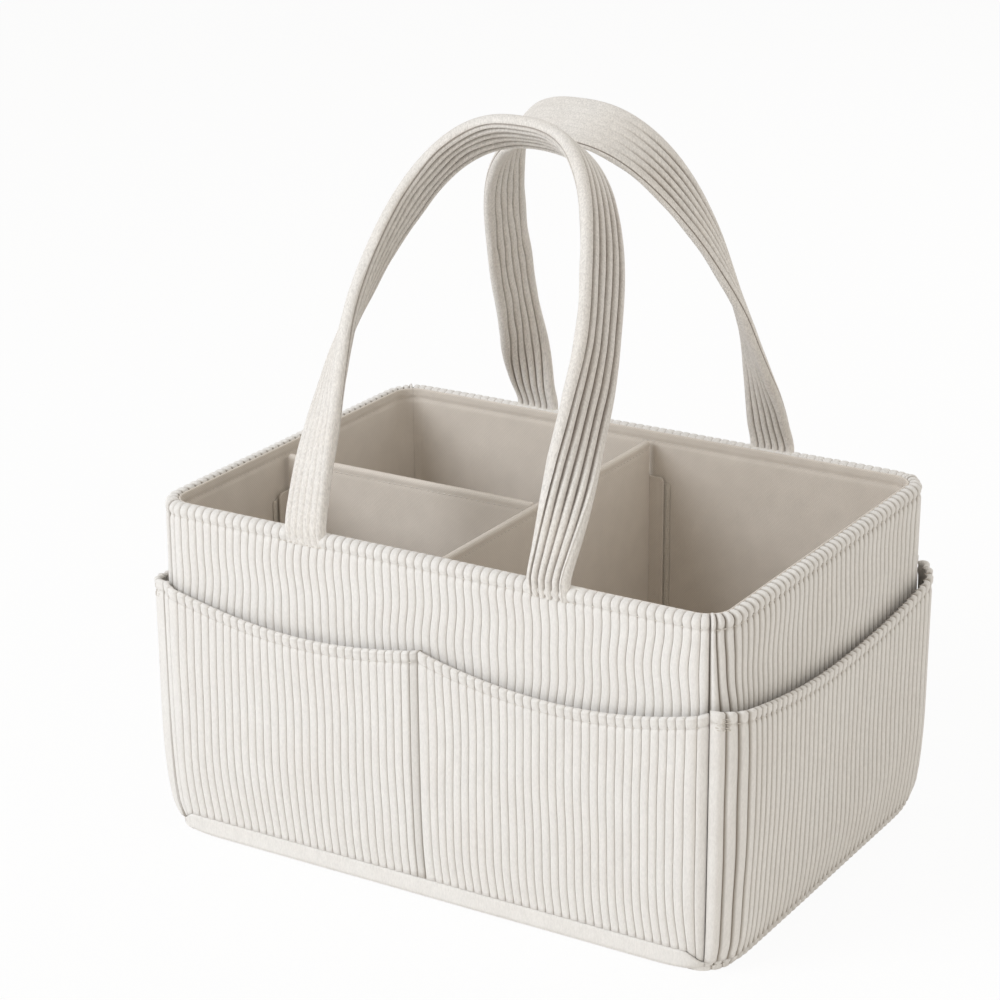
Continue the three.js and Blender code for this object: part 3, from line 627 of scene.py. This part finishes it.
def makeUnderside():
    count = underside["wales"]
    lines = np.append(((np.arange(count)[:, None] + waleSamples) / count).ravel(), 1) * 2 - 1

    def ridge(x, y):
        share = (y / (halfWidth + underside["outset"]) + 1) / 2 * count
        return waleShape(np.clip(share - np.floor(np.clip(share, 0, count - 1e-9)), 0, 1))

    # the ridges' shape also sets the painted shade in the underside's grooves
    return planShell("baseUnderside", underside["outset"], lambda x, y: underside["top"] + 0 * x,
                     lambda x, y: underside["foot"] + underside["depth"] * (1 - ridge(x, y)),
                     np.clip(lines, -planEdge, planEdge), 14, cottonCorduroy, paintedLightOf=ridge)


baseBand = makeBand()
baseUnderside = makeUnderside()
for piece in (baseBand, baseUnderside):
    dress(piece, "corduroy", "base_panel")
# the band is the bottom cloth's margin: the way round the foot by what is turned up and under
print("base made")


# Lining: smooth cotton on the inside of the walls and on the floor
lining = {
    "outset": -7.1, "thickness": 1.8, "top": 211.2, "foot": 7.1, "lip": 0.9, "crease": 0.9,
    "still": {"front": (1.5, 24), "back": (-1.5, 24), "left": (-8, 38.4)},  # where a tape keeps it flat
    "stitchDrop": 6.6, "floorTop": 8.9, "floorOutset": -9.2, "floorCut": (361, 252), "pinch": 0.7,
}


def makeLining(side):
    end, top, foot = side["end"] - body["seamGap"], lining["top"], lining["foot"]
    a = threeRuns(end, side["flat"], 14, 90)[:, None]
    z = join([np.linspace(foot, 196, 48), np.arange(198, 210.4, 1.2)])[None, :]
    still = bell(a, *lining["still"][side["name"]]) if side["name"] in lining["still"] else 0
    free = (1 - np.clip(1.6 * still, 0, 1)) * ramp(0, 9, z - 9) * ramp(0, 14, top - z)
    crease = np.abs(wander(a / 23 + z / 60, z / 34, side["turn"] + 4)) ** 1.5 + 0.35 * wander(a / 9, z / 26, 7)
    inner = lining["outset"] - lining["thickness"] + 0.15 - lining["crease"] * np.clip(crease, 0, 1) * free
    inner = inner + lining["pinch"] * bell(z, top - lining["stitchDrop"], 1.3)
    arc = np.radians(np.linspace(0, 180, 7))[None, 1:]
    half = (lining["outset"] - inner[:, -1:]) / 2
    lipO = inner[:, -1:] + half - half * np.cos(arc)
    lipZ = top - lining["lip"] + lining["lip"] * np.sin(arc)
    outset = join([inner, lipO, lining["outset"] + 0 * a], 1)
    height = join([z + 0 * a, lipZ + 0 * a, foot + 0 * a], 1)
    piece = loft(side["name"] + "Lining", onWall(side, a, outset, height), cottonTwill, flat=pairs(a, height), sharp=60)
    dress(piece, "lining", side["name"] + "_lining")


for side in walls.values():
    makeLining(side)


def floorRelief(x, y):
    outset = lining["floorOutset"]
    ring = np.minimum(halfLength + outset - np.abs(x), halfWidth + outset - np.abs(y))
    return lining["floorTop"] - 0.1 - 0.6 * np.clip(wander(x / 31, y / 27, 3), 0, 1) * ramp(0, 20, ring)


floorLining = planShell("floorLining", lining["floorOutset"], floorRelief, lambda x, y: lining["foot"] + 0.05 + 0 * x,
                        threeRuns(planEdge, 0.93, 8, 60), 84, cottonTwill)
dress(floorLining, "lining", "base_lining")
print("lining made")


# Handles: padded straps with sewn channels, each with its own slump and its own turn from foot to arch
strap = {
    "foot": 84,
    "levelHeight": 40,  # above the hinge by here it stands square to the arch
    "hingeInset": 2.5, "hingeHeight": 216.3, "footDrop": 12.5,
    "footSqueeze": 110,  # above the hinge by here it has its full width
    "feetIn": (60, 130),  # and between these it comes to its full span
    "wingRoom": (-39, 14),  # where the lifted wing passes, and over what width
    "bend": 5, "leanSpan": 245, "blend": 20, "channels": (-12.4, -6.7, -1.0, 4.7, 10.4),
    # grooveTone: how dark the painted shade in the channels is
    "channelWidth": 0.9, "grooveTone": 0.8, "pillow": 0.45, "crown": 0.28, "swell": 0.22,
    "stitch": 4.4, "pucker": 0.22,
    "edge": 0.95,  # the rounded edge's width, as a share of the half thickness
    "coreInset": 3, "coreShare": 0.28, "stations": 200,
    "crowding": 1.15,  # the stations stand closer together round the crown
    "footStations": 8, "twistHeights": (-20, 0, 60, 120, 180, 247, 320),
    # footShade: where the channels' painted shade changes towards the feet; the next two: how far from the crown and
    # how high the right leg's outer face takes its painted shade
    "legs": (18, 60), "crownFade": (20, 80), "footShade": (10, 90), "rightShadeRun": (20, 90), "rightShadeHeights": (20, 110),
    "closingWidth": 0.1, "closingDepth": 0.22,  # of the seam along each edge
}
handleValues = {  # of the front handle, then of the back handle
    "side": ("front", "back"),
    "sign": (1, -1),
    "halfSpan": (85.8, 84.3),
    "rise": (197.5, 214),
    "widest": (46.3, 20),
    "fullness": (0.759, 0.76),
    "leftTurn": ((0, 0, 0.31, 0.66, 0.87, 1, 1), (0, 0, 0.44, 0.64, 0.86, 1, 1)),
    "rightTurn": ((0, 0, 0.54, 0.81, 0.84, 1, 1), (0, 0, 0.76, 0.88, 0.88, 1, 1)),
    "lean": (0.366, 0.295),
    "curl": (0.259, 0.313),
    "shift": ((0, 0), (1.6, 1.5)),
    "width": (34.1, 36.4),
    "narrow": (0.22, 0.2),
    "feetIn": (3.3, 0),
    "wingRoom": (5.6, 0),
    "half": (4.1, 3.3),
    "channelDepth": (2.0, 1.5),
    "seamLevel": (-0.77, 0.64),
    # seamTone and the next three: painted light and shade, the edge seams darkened and whole faces (all, inner, right
    # outer) lightened or darkened; leftTone and innerTone: how deep the channels sink and how dark their painted shade
    # is; footTone: how dark that painted shade is at the feet
    "seamTone": (0.7, 0.9),
    "nap": (0.79, 0.87),
    "innerPaintedLight": (1, 1.14),
    "rightPaintedLight": (0.88, 1.0),
    "leftTone": (0.28, 1.2),
    "innerTone": (1.75, 0.8),
    "footTone": (0.5, 1.1),
}
handles = {name: {key: values[k] for key, values in handleValues.items()}
           for k, name in enumerate(("frontHandle", "backHandle"))}


def easeThrough(knots, values, at):  # a smooth line through the values at the knots
    knots, values = np.array(knots, float), np.array(values, float)
    slopes = np.gradient(values, knots)
    slopes[[0, -1]] = 0
    i = np.clip(np.searchsorted(knots, at) - 1, 0, len(knots) - 2)
    width = knots[i + 1] - knots[i]
    t = np.clip((at - knots[i]) / width, 0, 1)
    start, end = values[i] + t * width * slopes[i] * (1 - t), values[i + 1] - (1 - t) * width * slopes[i + 1] * t
    share = ramp(0, 1, t)
    return start * (1 - share) + end * share


def archLine(shape):  # the strap's centreline, upright: along, height above the hinge, and the way out of the arch
    footTurn = math.acos(-shape["widest"] / shape["rise"])
    turn = np.linspace(-footTurn, footTurn, strap["stations"])
    turn = np.sign(turn) * footTurn * (np.abs(turn) / footTurn) ** strap["crowding"]
    x = shape["halfSpan"] * np.sign(turn) * np.abs(np.sin(turn)) ** shape["fullness"]
    q = shape["widest"] + shape["rise"] * np.cos(turn)
    out = unit(np.stack([-np.gradient(q), np.gradient(x)], -1))
    count = strap["footStations"]
    down = np.linspace(strap["footDrop"], 0, count + 1)[:-1]
    x = join([np.full(count, x[0]), x, np.full(count, x[-1])])
    q = join([-down, q, -down[::-1]])
    side = np.tile([[1.0, 0.0]], (count, 1))
    return x, q, join([-side, out, side])


def leanAt(shape, q):  # upright in the wall, then bent over above the rim, and further over towards the top
    steps = np.linspace(-strap["footDrop"], shape["widest"] + shape["rise"] + 25, 2400)
    angle = shape["lean"] + shape["curl"] * np.maximum(steps, 0) / strap["leanSpan"]
    angle = angle * ramp(-strap["bend"], strap["bend"], steps)
    gap, between = steps[1] - steps[0], (angle[1:] + angle[:-1]) / 2
    inward, upward = (np.append(0, np.cumsum(way(between)) * gap) for way in (np.sin, np.cos))
    return tuple(np.interp(q, steps, line) for line in (inward, upward - strap["footDrop"], angle))


def channelsOf(shape):  # the first one lies along the edge that faces the front of the caddy
    return np.sort(np.array(strap["channels"]) * shape["sign"])


def faceInset(shape):  # half the width of a face, without its rounded edges
    return shape["width"] / 2 - shape["half"] * strap["edge"]


def strapSection(shape):  # once round the strap: place across it, and level from -1 to 1
    seam = math.degrees(math.asin(shape["seamLevel"]))
    turn = np.radians(np.sort(join([np.linspace(-90, 90, 11), [seam - 9, seam, seam + 9]])))
    edge, inset = shape["half"] * strap["edge"], faceInset(shape)
    spread = np.array([2.6, 1.7, 0.95, 0.5, 0, -0.5, -0.95, -1.7])
    face = (channelsOf(shape)[::-1, None] + spread).ravel()
    face = face[np.abs(face) < inset - 0.15]
    u = join([inset + edge * np.cos(turn), face, -inset - edge * np.cos(turn[::-1]), face[::-1]])
    v = join([np.sin(turn), np.ones(len(face)), np.sin(turn[::-1]), -np.ones(len(face))])
    return u, v


def bendStrap(shape, x, q, out, across, lift):  # from the strap's own width and thickness to its place
    across = across * (1 - shape["narrow"] * (1 - ramp(0, strap["footSqueeze"], q))[:, None])
    level = (1 - ramp(0, strap["levelHeight"], q))[:, None]
    away = unit(out * (1 - level) + np.stack([np.sign(x), 0 * x], -1) * level)
    turned = [easeThrough(strap["twistHeights"], shape[key], q) for key in ("leftTurn", "rightTurn")]
    twist = math.pi / 2 * np.where(x < 0, *turned)
    c, s = np.cos(twist)[:, None], np.sin(twist)[:, None]
    acrossWay = np.stack([away[:, 0:1] * c, -s, away[:, 1:2] * c], -1)  # along, out of the caddy, up
    faceWay = np.stack([away[:, 0:1] * s, c, away[:, 1:2] * s], -1)
    drift = (shape["shift"][0] + shape["shift"][1] * q / strap["leanSpan"]) * ramp(-5, 15, q)
    feetIn = np.sign(x) * shape["feetIn"] * (1 - ramp(*strap["feetIn"], q))
    middle = np.stack([x + drift - feetIn, 0 * x, 0 * x], -1)
    upright = middle[:, None, :] + acrossWay * across[..., None] + faceWay * lift[..., None]
    inward, upward, angle = (line[:, None] for line in leanAt(shape, q))
    c, s = np.cos(angle), np.sin(angle)
    y = upright[..., 1] * c - inward - upright[..., 2] * s
    room = shape["wingRoom"] * bell(x, *strap["wingRoom"])[:, None]
    y = y + room * ramp(-shape["width"] / 2, shape["width"] / 2, across)
    z = upward + upright[..., 2] * c + upright[..., 1] * s + strap["hingeHeight"]
    hinge = halfWidth - strap["hingeInset"]
    return np.stack([shape["sign"] * upright[..., 0], -shape["sign"] * (hinge + y), z], -1)


def hangFromRim(piece, name):  # bakes its place into the mesh
    nodeName(name)
    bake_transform(piece)


def makeHandle(name, shape):
    x, q, out = archLine(shape)
    high, left = q[:, None], (x < 0)[:, None]
    run = np.append(0, np.cumsum(np.hypot(np.diff(x), np.diff(q))))
    s = run[:, None]
    fromCrown = np.abs(s - run[-1] / 2)
    u, v = (np.tile(line, (len(x), 1)) for line in strapSection(shape))
    inset = faceInset(shape)
    outer, inner = v > 0.5, v < -0.5  # the faces turned away from the arch's middle and towards it
    onFace = (outer | inner) & (np.abs(u) < inset)
    closing = bell(v, shape["seamLevel"], strap["closingWidth"]) * (np.abs(u) > inset)  # the seam along each edge
    u = np.sign(u) * (np.abs(u) - strap["closingDepth"] * closing * np.maximum(np.abs(u) - inset, 0))
    legs = ramp(*strap["legs"], high)
    waver = 0.75 * wander(s / 9, u / 7, 1.3) * inner * legs + 0.25 * wander(s / 14, u / 9, 5) * onFace
    fade = np.where(outer, 0.12 + 0.88 * ramp(*strap["crownFade"], fromCrown), 1.0)  # the channels sink in less on top
    fade = fade * np.where(outer & left, shape["leftTone"], np.where(inner, shape["innerTone"], 1.0))
    pucker = 1 - strap["pucker"] * np.cos(2 * math.pi * s / strap["stitch"])
    channels = channelsOf(shape)
    groove = np.max([bell(u, channel, strap["channelWidth"]) * onFace for channel in channels], 0)
    between = np.abs(np.sin(math.pi * (u - channels[0]) / (channels[1] - channels[0]))) ** 0.8
    crown = strap["crown"] * (1 - np.clip((np.abs(u) / 17) ** 2, 0, 1)) + strap["pillow"] * between * onFace * fade
    swell = strap["swell"] * wander(s / 6.5, u / 3.1, 2) * np.where(inner, 1.0, 0.45) * onFace * legs
    thick = shape["half"] + crown + swell - shape["channelDepth"] * fade * groove * pucker
    sunk = 0.62 + 0.38 * ramp(-strap["footDrop"], -2.5, high)  # the front sinks in under its stitches
    lift = v * thick * np.where(v > 0, sunk, 1) * (1 - strap["closingDepth"] * closing)
    points = bendStrap(shape, x, q, out, u + waver, lift)
    # painted light and shade: whole faces lighter or darker, the channels and edge seams darkened in colour
    rightPaintedLight = 1 - (1 - shape["rightPaintedLight"]) * ramp(*strap["rightShadeRun"], fromCrown) * ramp(*strap["rightShadeHeights"], high)
    nap = np.where(outer & (x > 0)[:, None], rightPaintedLight, np.where(inner, shape["innerPaintedLight"], 1.0)) * shape["nap"]
    shaded = groove * fade * (shape["footTone"] + (1 - shape["footTone"]) * ramp(*strap["footShade"], high))
    pile = np.clip(1 - strap["grooveTone"] * shaded - shape["seamTone"] * closing, 0, 1) * nap
    piece = loft(name, points, quiltedCorduroy, pile=pile, flat=pairs(u, s), sharp=75)
    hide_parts(nodeName(name) + "_sleeve")
    hangFromRim(piece, name)


def makeCore(name, shape):  # the wadding inside, a flat bar with cut corners
    x, q, out = (line[6:-6] for line in archLine(shape))
    half, thick = shape["width"] / 2 - strap["coreInset"], shape["half"] * strap["coreShare"]
    corners = [(half, -0.5), (half, 0.5), (half - 1, 1), (1 - half, 1)]
    corners += [(-across, -level) for across, level in corners]
    across, level = (np.tile(column, (len(x), 1)) for column in np.array(corners).T)
    piece = loft(name + "Core", bendStrap(shape, x, q, out, across, level * thick), foamCore)
    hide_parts(nodeName(name) + "_core")
    hangFromRim(piece, name)


for name, shape in handles.items():
    makeHandle(name, shape)
    makeCore(name, shape)
print("handles made")


# Divider: cloth sleeves over boards, with a flap and tape at each end
divider = {
    "half": 2.3, "wall": 1.0, "top": 206, "foot": 9.2, "offset": 1.5, "reach": 122.4,
    "stations": 120, "stitchDrop": 5, "wingLine": -12, "wingHinge": -3.4, "wingReach": 176.9,
    "cutHeight": 396, "quilt": 0.22, "pinch": 0.3,
}


def sleeveRows():  # once round a sleeve's outside: which face, and the height
    ceiling, half = divider["top"] - divider["half"], divider["half"]
    leg = join([[divider["foot"]], np.linspace(14, 192, 30), np.arange(194, ceiling, 1.2)])
    fold = [(math.cos(a), ceiling + half * math.sin(a)) for a in np.radians(np.linspace(0, 180, 13)[1:-1])]
    return np.array([(1, z) for z in leg] + fold + [(-1, z) for z in leg[::-1]]).T


def makeSleeve(name, places, halves, cavities, toWorld, part, bodyName):
    edge, z = sleeveRows()
    t = places[:, None]
    ease = np.clip(halves / divider["half"], 0, 1)[:, None]
    quilt = divider["quilt"] * wander(t / 19, z / 21, 2 + edge) * ramp(0, 12, divider["top"] - z)
    pinch = divider["pinch"] * bell(z, divider["top"] - divider["stitchDrop"], 1.2)
    across = edge * (halves[:, None] - (np.abs(quilt) + pinch) * ease * (np.abs(edge) > 0.9))
    dip = (1 - ease) * 1.6 * (z > divider["top"] - 2 * divider["half"])
    outside = np.stack([t + 0 * z, across, z - dip], -1)
    foot, ceiling = divider["foot"], divider["top"] - divider["half"]
    middle = (foot + ceiling) / 2
    hollow = [(-1, foot), (-1, middle), (-1, ceiling), (0, ceiling + 0.8), (1, ceiling), (1, middle), (1, foot)]
    inside = [np.stack([places, edge * cavities, 0 * places + level], -1) for edge, level in hollow]
    points = join([outside, np.stack(inside, 1)], 1)
    piece = loft(name, toWorld(points), cottonTwill, flat=points[..., [0, 2]], sharp=60)
    dress(piece, "divider_cloth", part + "_cover", rides=bodyName)


def acrossCaddy(points):
    return np.stack([points[..., 1] + divider["offset"], points[..., 0], points[..., 2]], -1)


def toLeftWall(points):
    return np.stack([points[..., 0], divider["wingLine"] - points[..., 1], points[..., 2]], -1)


def makeSleeves():
    half, hinge, reach = divider["half"], divider["wingHinge"], divider["reach"]
    hollow = half - divider["wall"]
    places = np.linspace(-reach, reach, divider["stations"])
    makeSleeve("centerDividerSleeve", places, half + 0 * places, hollow + 0 * places, acrossCaddy, "center_divider",
               "divider_insert")
    swing = np.radians(np.linspace(0, 86, 9))  # the wing's rounded edge at its hinge
    straight = np.linspace(-divider["wingReach"], hinge - 1.2, 86)
    places = join([straight, [hinge - 0.4], hinge + half * np.sin(swing)])
    halves = join([half + 0 * straight, [half], half * np.cos(swing)])
    cavities = join([hollow + 0 * straight, np.full(len(swing) + 1, 0.05)])
    makeSleeve("wingDividerSleeve", places, halves, np.minimum(cavities, halves * 0.5 + 0.15), toLeftWall,
               "wing_divider", "divider_wing")


makeSleeves()


def roundedPlate(name, side, along, width, kind):
    # a plate on a wall, narrower at its rounded corners, its shown face towards the inside
    corner, foot, top = kind["corner"], kind["foot"], kind["foot"] + kind["height"]
    level = np.array([0.02, 0.25, 0.6, 1.0]) * corner
    z = join([foot + level, np.linspace(foot + corner, top - corner, kind["rows"])[1:-1], top - level[::-1]])
    over = np.clip(np.maximum(foot + corner - z, z - (top - corner)), 0, corner)
    half = (width / 2 - corner + np.sqrt(np.maximum(corner ** 2 - over ** 2, 0.01)))[:, None]
    across = half * np.linspace(-1, 1, int(width * kind["columns"]))
    z = z[:, None] + 0 * across
    rim = np.minimum(half - np.abs(across), np.minimum(z - foot, top - z))
    outset = 0.25 - kind["inset"] - kind["thickness"] - kind["relief"](across, z, rim)
    shown = onWall(side, along + across, outset, z)
    hidden = onWall(side, along + across, -kind["inset"] - 0.02, z)[:, ::-1]
    flat = pairs(across, z)
    return loft(name, join([shown, hidden], 1), kind["material"], flat=join([flat, flat[:, ::-1]], 1), sharp=60)


def flapRelief(across, height, rim):
    return 0.25 * ramp(0, 1.2, rim) - 0.3 * bell(rim, 2.4, 0.7)


def loopRelief(across, height, rim):  # a woven edge, then brushed loops
    fuzz = 0.5 + 0.5 * wander(across * 2.1, height * 1.9, 1)
    return ramp(1.2, 2.4, rim) * (0.05 + 0.18 * fuzz) - 0.1 * ramp(2.4, 0, rim)


def hookRelief(across, height, rim):  # rows of small hooks
    return 0.22 * ramp(0.8, 1.4, rim) * np.clip(np.cos(across * 3.9) * np.cos(height * 3.9), 0, 1)


flapKind = {"height": 148, "foot": 34.9, "inset": 11.8, "thickness": 1.2, "corner": 3, "rows": 90, "columns": 1.05,
            "relief": flapRelief, "material": cottonTwill, "slot": "divider_cloth"}  # rows in all, columns to the mm
loopKind = {"height": 140, "foot": 38.9, "inset": 9.2, "thickness": 1.0, "corner": 2, "rows": 200, "columns": 1.6,
            "relief": loopRelief, "material": loopTape, "slot": "hook_and_loop"}
hookKind = {**loopKind, "inset": 10.5, "relief": hookRelief, "material": hookTape}
plates = {  # wall, place along it, width, kind, body, the node it stands for and what it rests on
    "frontFlap": ("front", 1.5, 24, flapKind, "divider_insert", "center_divider_cover", "front_hook_strip"),
    "backFlap": ("back", -1.5, 24, flapKind, "divider_insert", "center_divider_cover", "back_hook_strip"),
    "leftFlap": ("left", 12, 24, flapKind, "divider_wing", "wing_divider_cover", "leftLining"),
    "frontLoopTape": ("front", 1.5, 30, loopKind, "caddy", "front_loop_strip", "frontLining"),
    "backLoopTape": ("back", -1.5, 30, loopKind, "caddy", "back_loop_strip", "backLining"),
    "leftLoopTape": ("left", -8, 70, loopKind, "caddy", "left_loop_strip", "leftLining"),
    "frontHookTape": ("front", 1.5, 16, hookKind, "divider_insert", "front_hook_strip", "frontLining"),
    "backHookTape": ("back", -1.5, 16, hookKind, "divider_insert", "back_hook_strip", "backLining"),
    "wingHookTape": ("left", 12, 16, hookKind, "divider_wing", "wing_hook_strip", "leftLining"),
}
for name, (sideName, along, width, kind, bodyName, node, under) in plates.items():
    piece = roundedPlate(name, walls[sideName], along, width, kind)
    dress(piece, kind["slot"], node, rides=bodyName)
print("divider made")


# Stitches: short threads that dip into the cloth at both ends
stitch = {"length": 3.0, "pitch": 3.9, "radius": 0.38, "sides": 5, "sink": 0.28}


def sew(name, rows, bodyName, slotName):
    middle, forward, out = (join([row[k] for row in rows])[:, None, :] for k in range(3))
    half, radius, sides = stitch["length"] / 2, stitch["radius"], stitch["sides"]
    local = [(-half, 0, -0.55)]
    for run, swell, lift in ((-0.62, 0.85, -0.05), (0, 1.0, 0.12), (0.62, 0.85, -0.05)):
        for k in range(sides):
            turn = 2 * math.pi * k / sides
            local.append((run * half, radius * swell * math.cos(turn), lift + 0.8 * radius * swell * math.sin(turn)))
    local = np.array(local + [(half, 0, -0.55)])
    points = middle + forward * local[:, 0:1] + np.cross(out, forward) * local[:, 1:2] + out * local[:, 2:3]
    last = len(local) - 1
    faces = []
    for k in range(sides):
        n = (k + 1) % sides
        faces.append([0, 1 + n, 1 + k])
        for ring in range(2):
            a, b = 1 + ring * sides + k, 1 + ring * sides + n
            faces.append([a, b, b + sides, a + sides])
        faces.append([last, last - sides + k, last - sides + n])
    every = [[i + base for i in face] for base in range(0, len(middle) * len(local), len(local)) for face in faces]
    dress(makePiece(name, points.reshape(-1, 3), every, polyesterThread, sharp=80), slotName, rides=bodyName)


def seamRow(side, along, outset, height):  # outset and height are functions of the place along the wall
    def at(a, more=0.0):
        return onWall(side, a, outset(a) + more, height(a))
    middle = at(along)
    return middle, unit(at(along + 0.5) - at(along - 0.5)), unit(at(along, 1.0) - middle)


def evenly(start, end):
    count = max(2, int((end - start) / stitch["pitch"]))
    return start + (np.arange(count) + 0.5) * (end - start) / count


def rimRow(side):
    height = body["height"] - wallCloth["stitchDrop"]
    along = evenly(-side["end"] + 2.5, side["end"] - 2.5)
    width = next((shape["width"] for shape in handles.values() if shape["side"] == side["name"]), 0)
    lift = np.where(np.abs(np.abs(along) - strap["foot"]) < width / 2, 1.1, 0.0)  # over the handles' feet
    return seamRow(side, along, lambda a: wallOutset(side, a, height) - stitch["sink"] + lift, lambda a: height)


def hemRow(pocket):
    side, start, end = pocketSpan(pocket)
    height = lambda a: hemHeight(pocket, a) - pocketCloth["stitchDrop"]
    outset = lambda a: pocketOutset(pocket, a, height(a)) - stitch["sink"]
    return seamRow(side, evenly(start + 3, end - 3), outset, height)


def liningRow(side):
    along = evenly(-side["end"] + 2, side["end"] - 2)
    outset, height = lining["outset"] - lining["thickness"] + 0.85, lining["top"] - lining["stitchDrop"]
    middle, forward, out = seamRow(side, along, lambda a: outset, lambda a: height)
    return middle, forward, -out


tack = {"rows": 6, "columns": 3, "from": 2.6, "drop": 4, "pitch": 2.2, "stagger": 0.6, "rise": 1.3, "sink": 0.3}


def tackRow(pocket, row, edge, inwards):  # one row of a bar tack, where an end pocket's hem meets a corner seam
    start = tack["from"] + tack["stagger"] * (row % 2)
    along = edge + inwards * (start + np.arange(tack["columns"]) * tack["pitch"])
    height = lambda a: hemHeight(pocket, a) - tack["drop"] - tack["rise"] * row
    return seamRow(walls[pocket["wall"]], along, lambda a: pocketOutset(pocket, a, height(a)) - tack["sink"], height)


def sleeveSeam(toWorld, start, end):
    along = evenly(start, end)
    rows = []
    for face in (-1, 1):
        across, height = face * (divider["half"] - 0.42), divider["top"] - divider["stitchDrop"]
        local = np.stack([along, across + 0 * along, height + 0 * along], -1)
        middle = toWorld(local)
        ways = [unit(toWorld(local + np.array(way)) - middle) for way in ((1.0, 0, 0), (0, face, 0))]
        rows.append((middle, *ways))
    return rows


sew("rimStitches", [rimRow(side) for side in walls.values()], "caddy", "corduroy")
sew("hemStitches", [hemRow(pocket) for pocket in pockets.values()], "caddy", "corduroy")
sew("liningStitches", [liningRow(side) for side in walls.values()], "caddy", "lining")
sew("barTacks", [
    tackRow(pockets[name], row, edge, inwards)
    for name in ("rightPocket", "leftPocket")
    for edge, inwards in zip(pocketSpan(pockets[name])[1:], (1, -1))
    for row in range(tack["rows"])
], "caddy", "corduroy")
sew("centerSleeveStitches", sleeveSeam(acrossCaddy, -divider["reach"] + 2, divider["reach"] - 2),
    "divider_insert", "divider_cloth")
sew("wingSleeveStitches", sleeveSeam(toLeftWall, -divider["wingReach"] + 2, divider["wingHinge"] - 2),
    "divider_wing", "divider_cloth")
print("stitches made")


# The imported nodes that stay: boards and strap tabs, under the cloth
for name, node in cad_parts.items():
    for ending, look in (("_board", greyBoard), ("_tab", foamCore)):
        if name.endswith(ending):
            node.data.materials.clear()
            node.data.materials.append(look)


# Stage: a pale floor that keeps the shadow, white behind, and soft light from the upper left.
stage = {
    "floor": "F4F2EF", "floorPatch": "F8F7F5",
    "floorSize": 7,  # metres
    "patchSize": 1000 / 3,
    "cameraWhite": 0.93,  # how much of the floor is plain white to the camera
    "surface": {"Roughness": 0.9, "Specular IOR Level": 0.1},
}


def makeStage():
    bpy.ops.object.select_all(action="DESELECT")
    bpy.ops.mesh.primitive_plane_add(size=stage["floorSize"])
    floor = bpy.context.object
    floor.name = "floor"
    material, tree, place = newMaterial("paintedFloor")  # matt white paint, faintly uneven
    mottle = noise(tree, place, stage["patchSize"], 2.0)
    paint = makeShader(tree, mixColours(tree, mottle, stage["floor"], stage["floorPatch"]), stage["surface"])
    seen = addNode(tree, "ShaderNodeLightPath", output="Is Camera Ray")
    share = calculate(tree, "MULTIPLY", seen, stage["cameraWhite"])
    setOutput(tree, addNode(tree, "ShaderNodeMixShader", {0: share, 1: paint, 2: addNode(tree, "ShaderNodeEmission")}))
    floor.data.materials.append(material)


lights = {  # places and sizes in metres
    "key": {"at": (-1.35, -2.1, 1.7), "size": 1.8, "power": 50, "tint": "F5F9FF"},
    "fill": {"at": (1.9, -0.6, 0.9), "size": 2.2, "power": 8, "tint": "FFF9F1"},
    "rear": {"at": (0.3, 1.9, 1.6), "size": 1.8, "power": 12, "tint": "FFFFFF"},
}
lightsAim = (0, 0, 0.15)
world = {"ambient": 0.48, "tint": "FFFBF5"}


def makeLights():
    for name, values in lights.items():
        data = bpy.data.lights.new(name, "AREA")
        data.shape = "DISK"
        data.size = values["size"]
        data.energy = values["power"]
        data.color = toLinear(values["tint"])[:3]
        lamp = addObject(name, data)
        lamp.location = values["at"]
        lamp.rotation_euler = (Vector(lightsAim) - Vector(values["at"])).to_track_quat("-Z", "Y").to_euler()


def makeSky():  # white to the camera and in mirrors, softer as a light
    sky = bpy.data.worlds.new("studio")
    scene.world = sky
    sky.use_nodes = True
    tree = sky.node_tree
    tree.nodes.clear()
    seen, mirrored, through = (addNode(tree, "ShaderNodeLightPath", output=f"Is {kind} Ray")
                               for kind in ("Camera", "Glossy", "Transmission"))
    seen = calculate(tree, "MAXIMUM", calculate(tree, "MAXIMUM", seen, mirrored), through)
    dim = addNode(tree, "ShaderNodeBackground", {"Color": toLinear(world["tint"]), "Strength": world["ambient"]})
    white = addNode(tree, "ShaderNodeBackground", {"Color": (1, 1, 1, 1)})
    both = addNode(tree, "ShaderNodeMixShader", {0: seen, 1: dim, 2: white})
    addNode(tree, "ShaderNodeOutputWorld", {"Surface": both})


makeStage()
makeLights()
makeSky()
scene.view_settings.view_transform = "Standard"
print("stage and lights set")
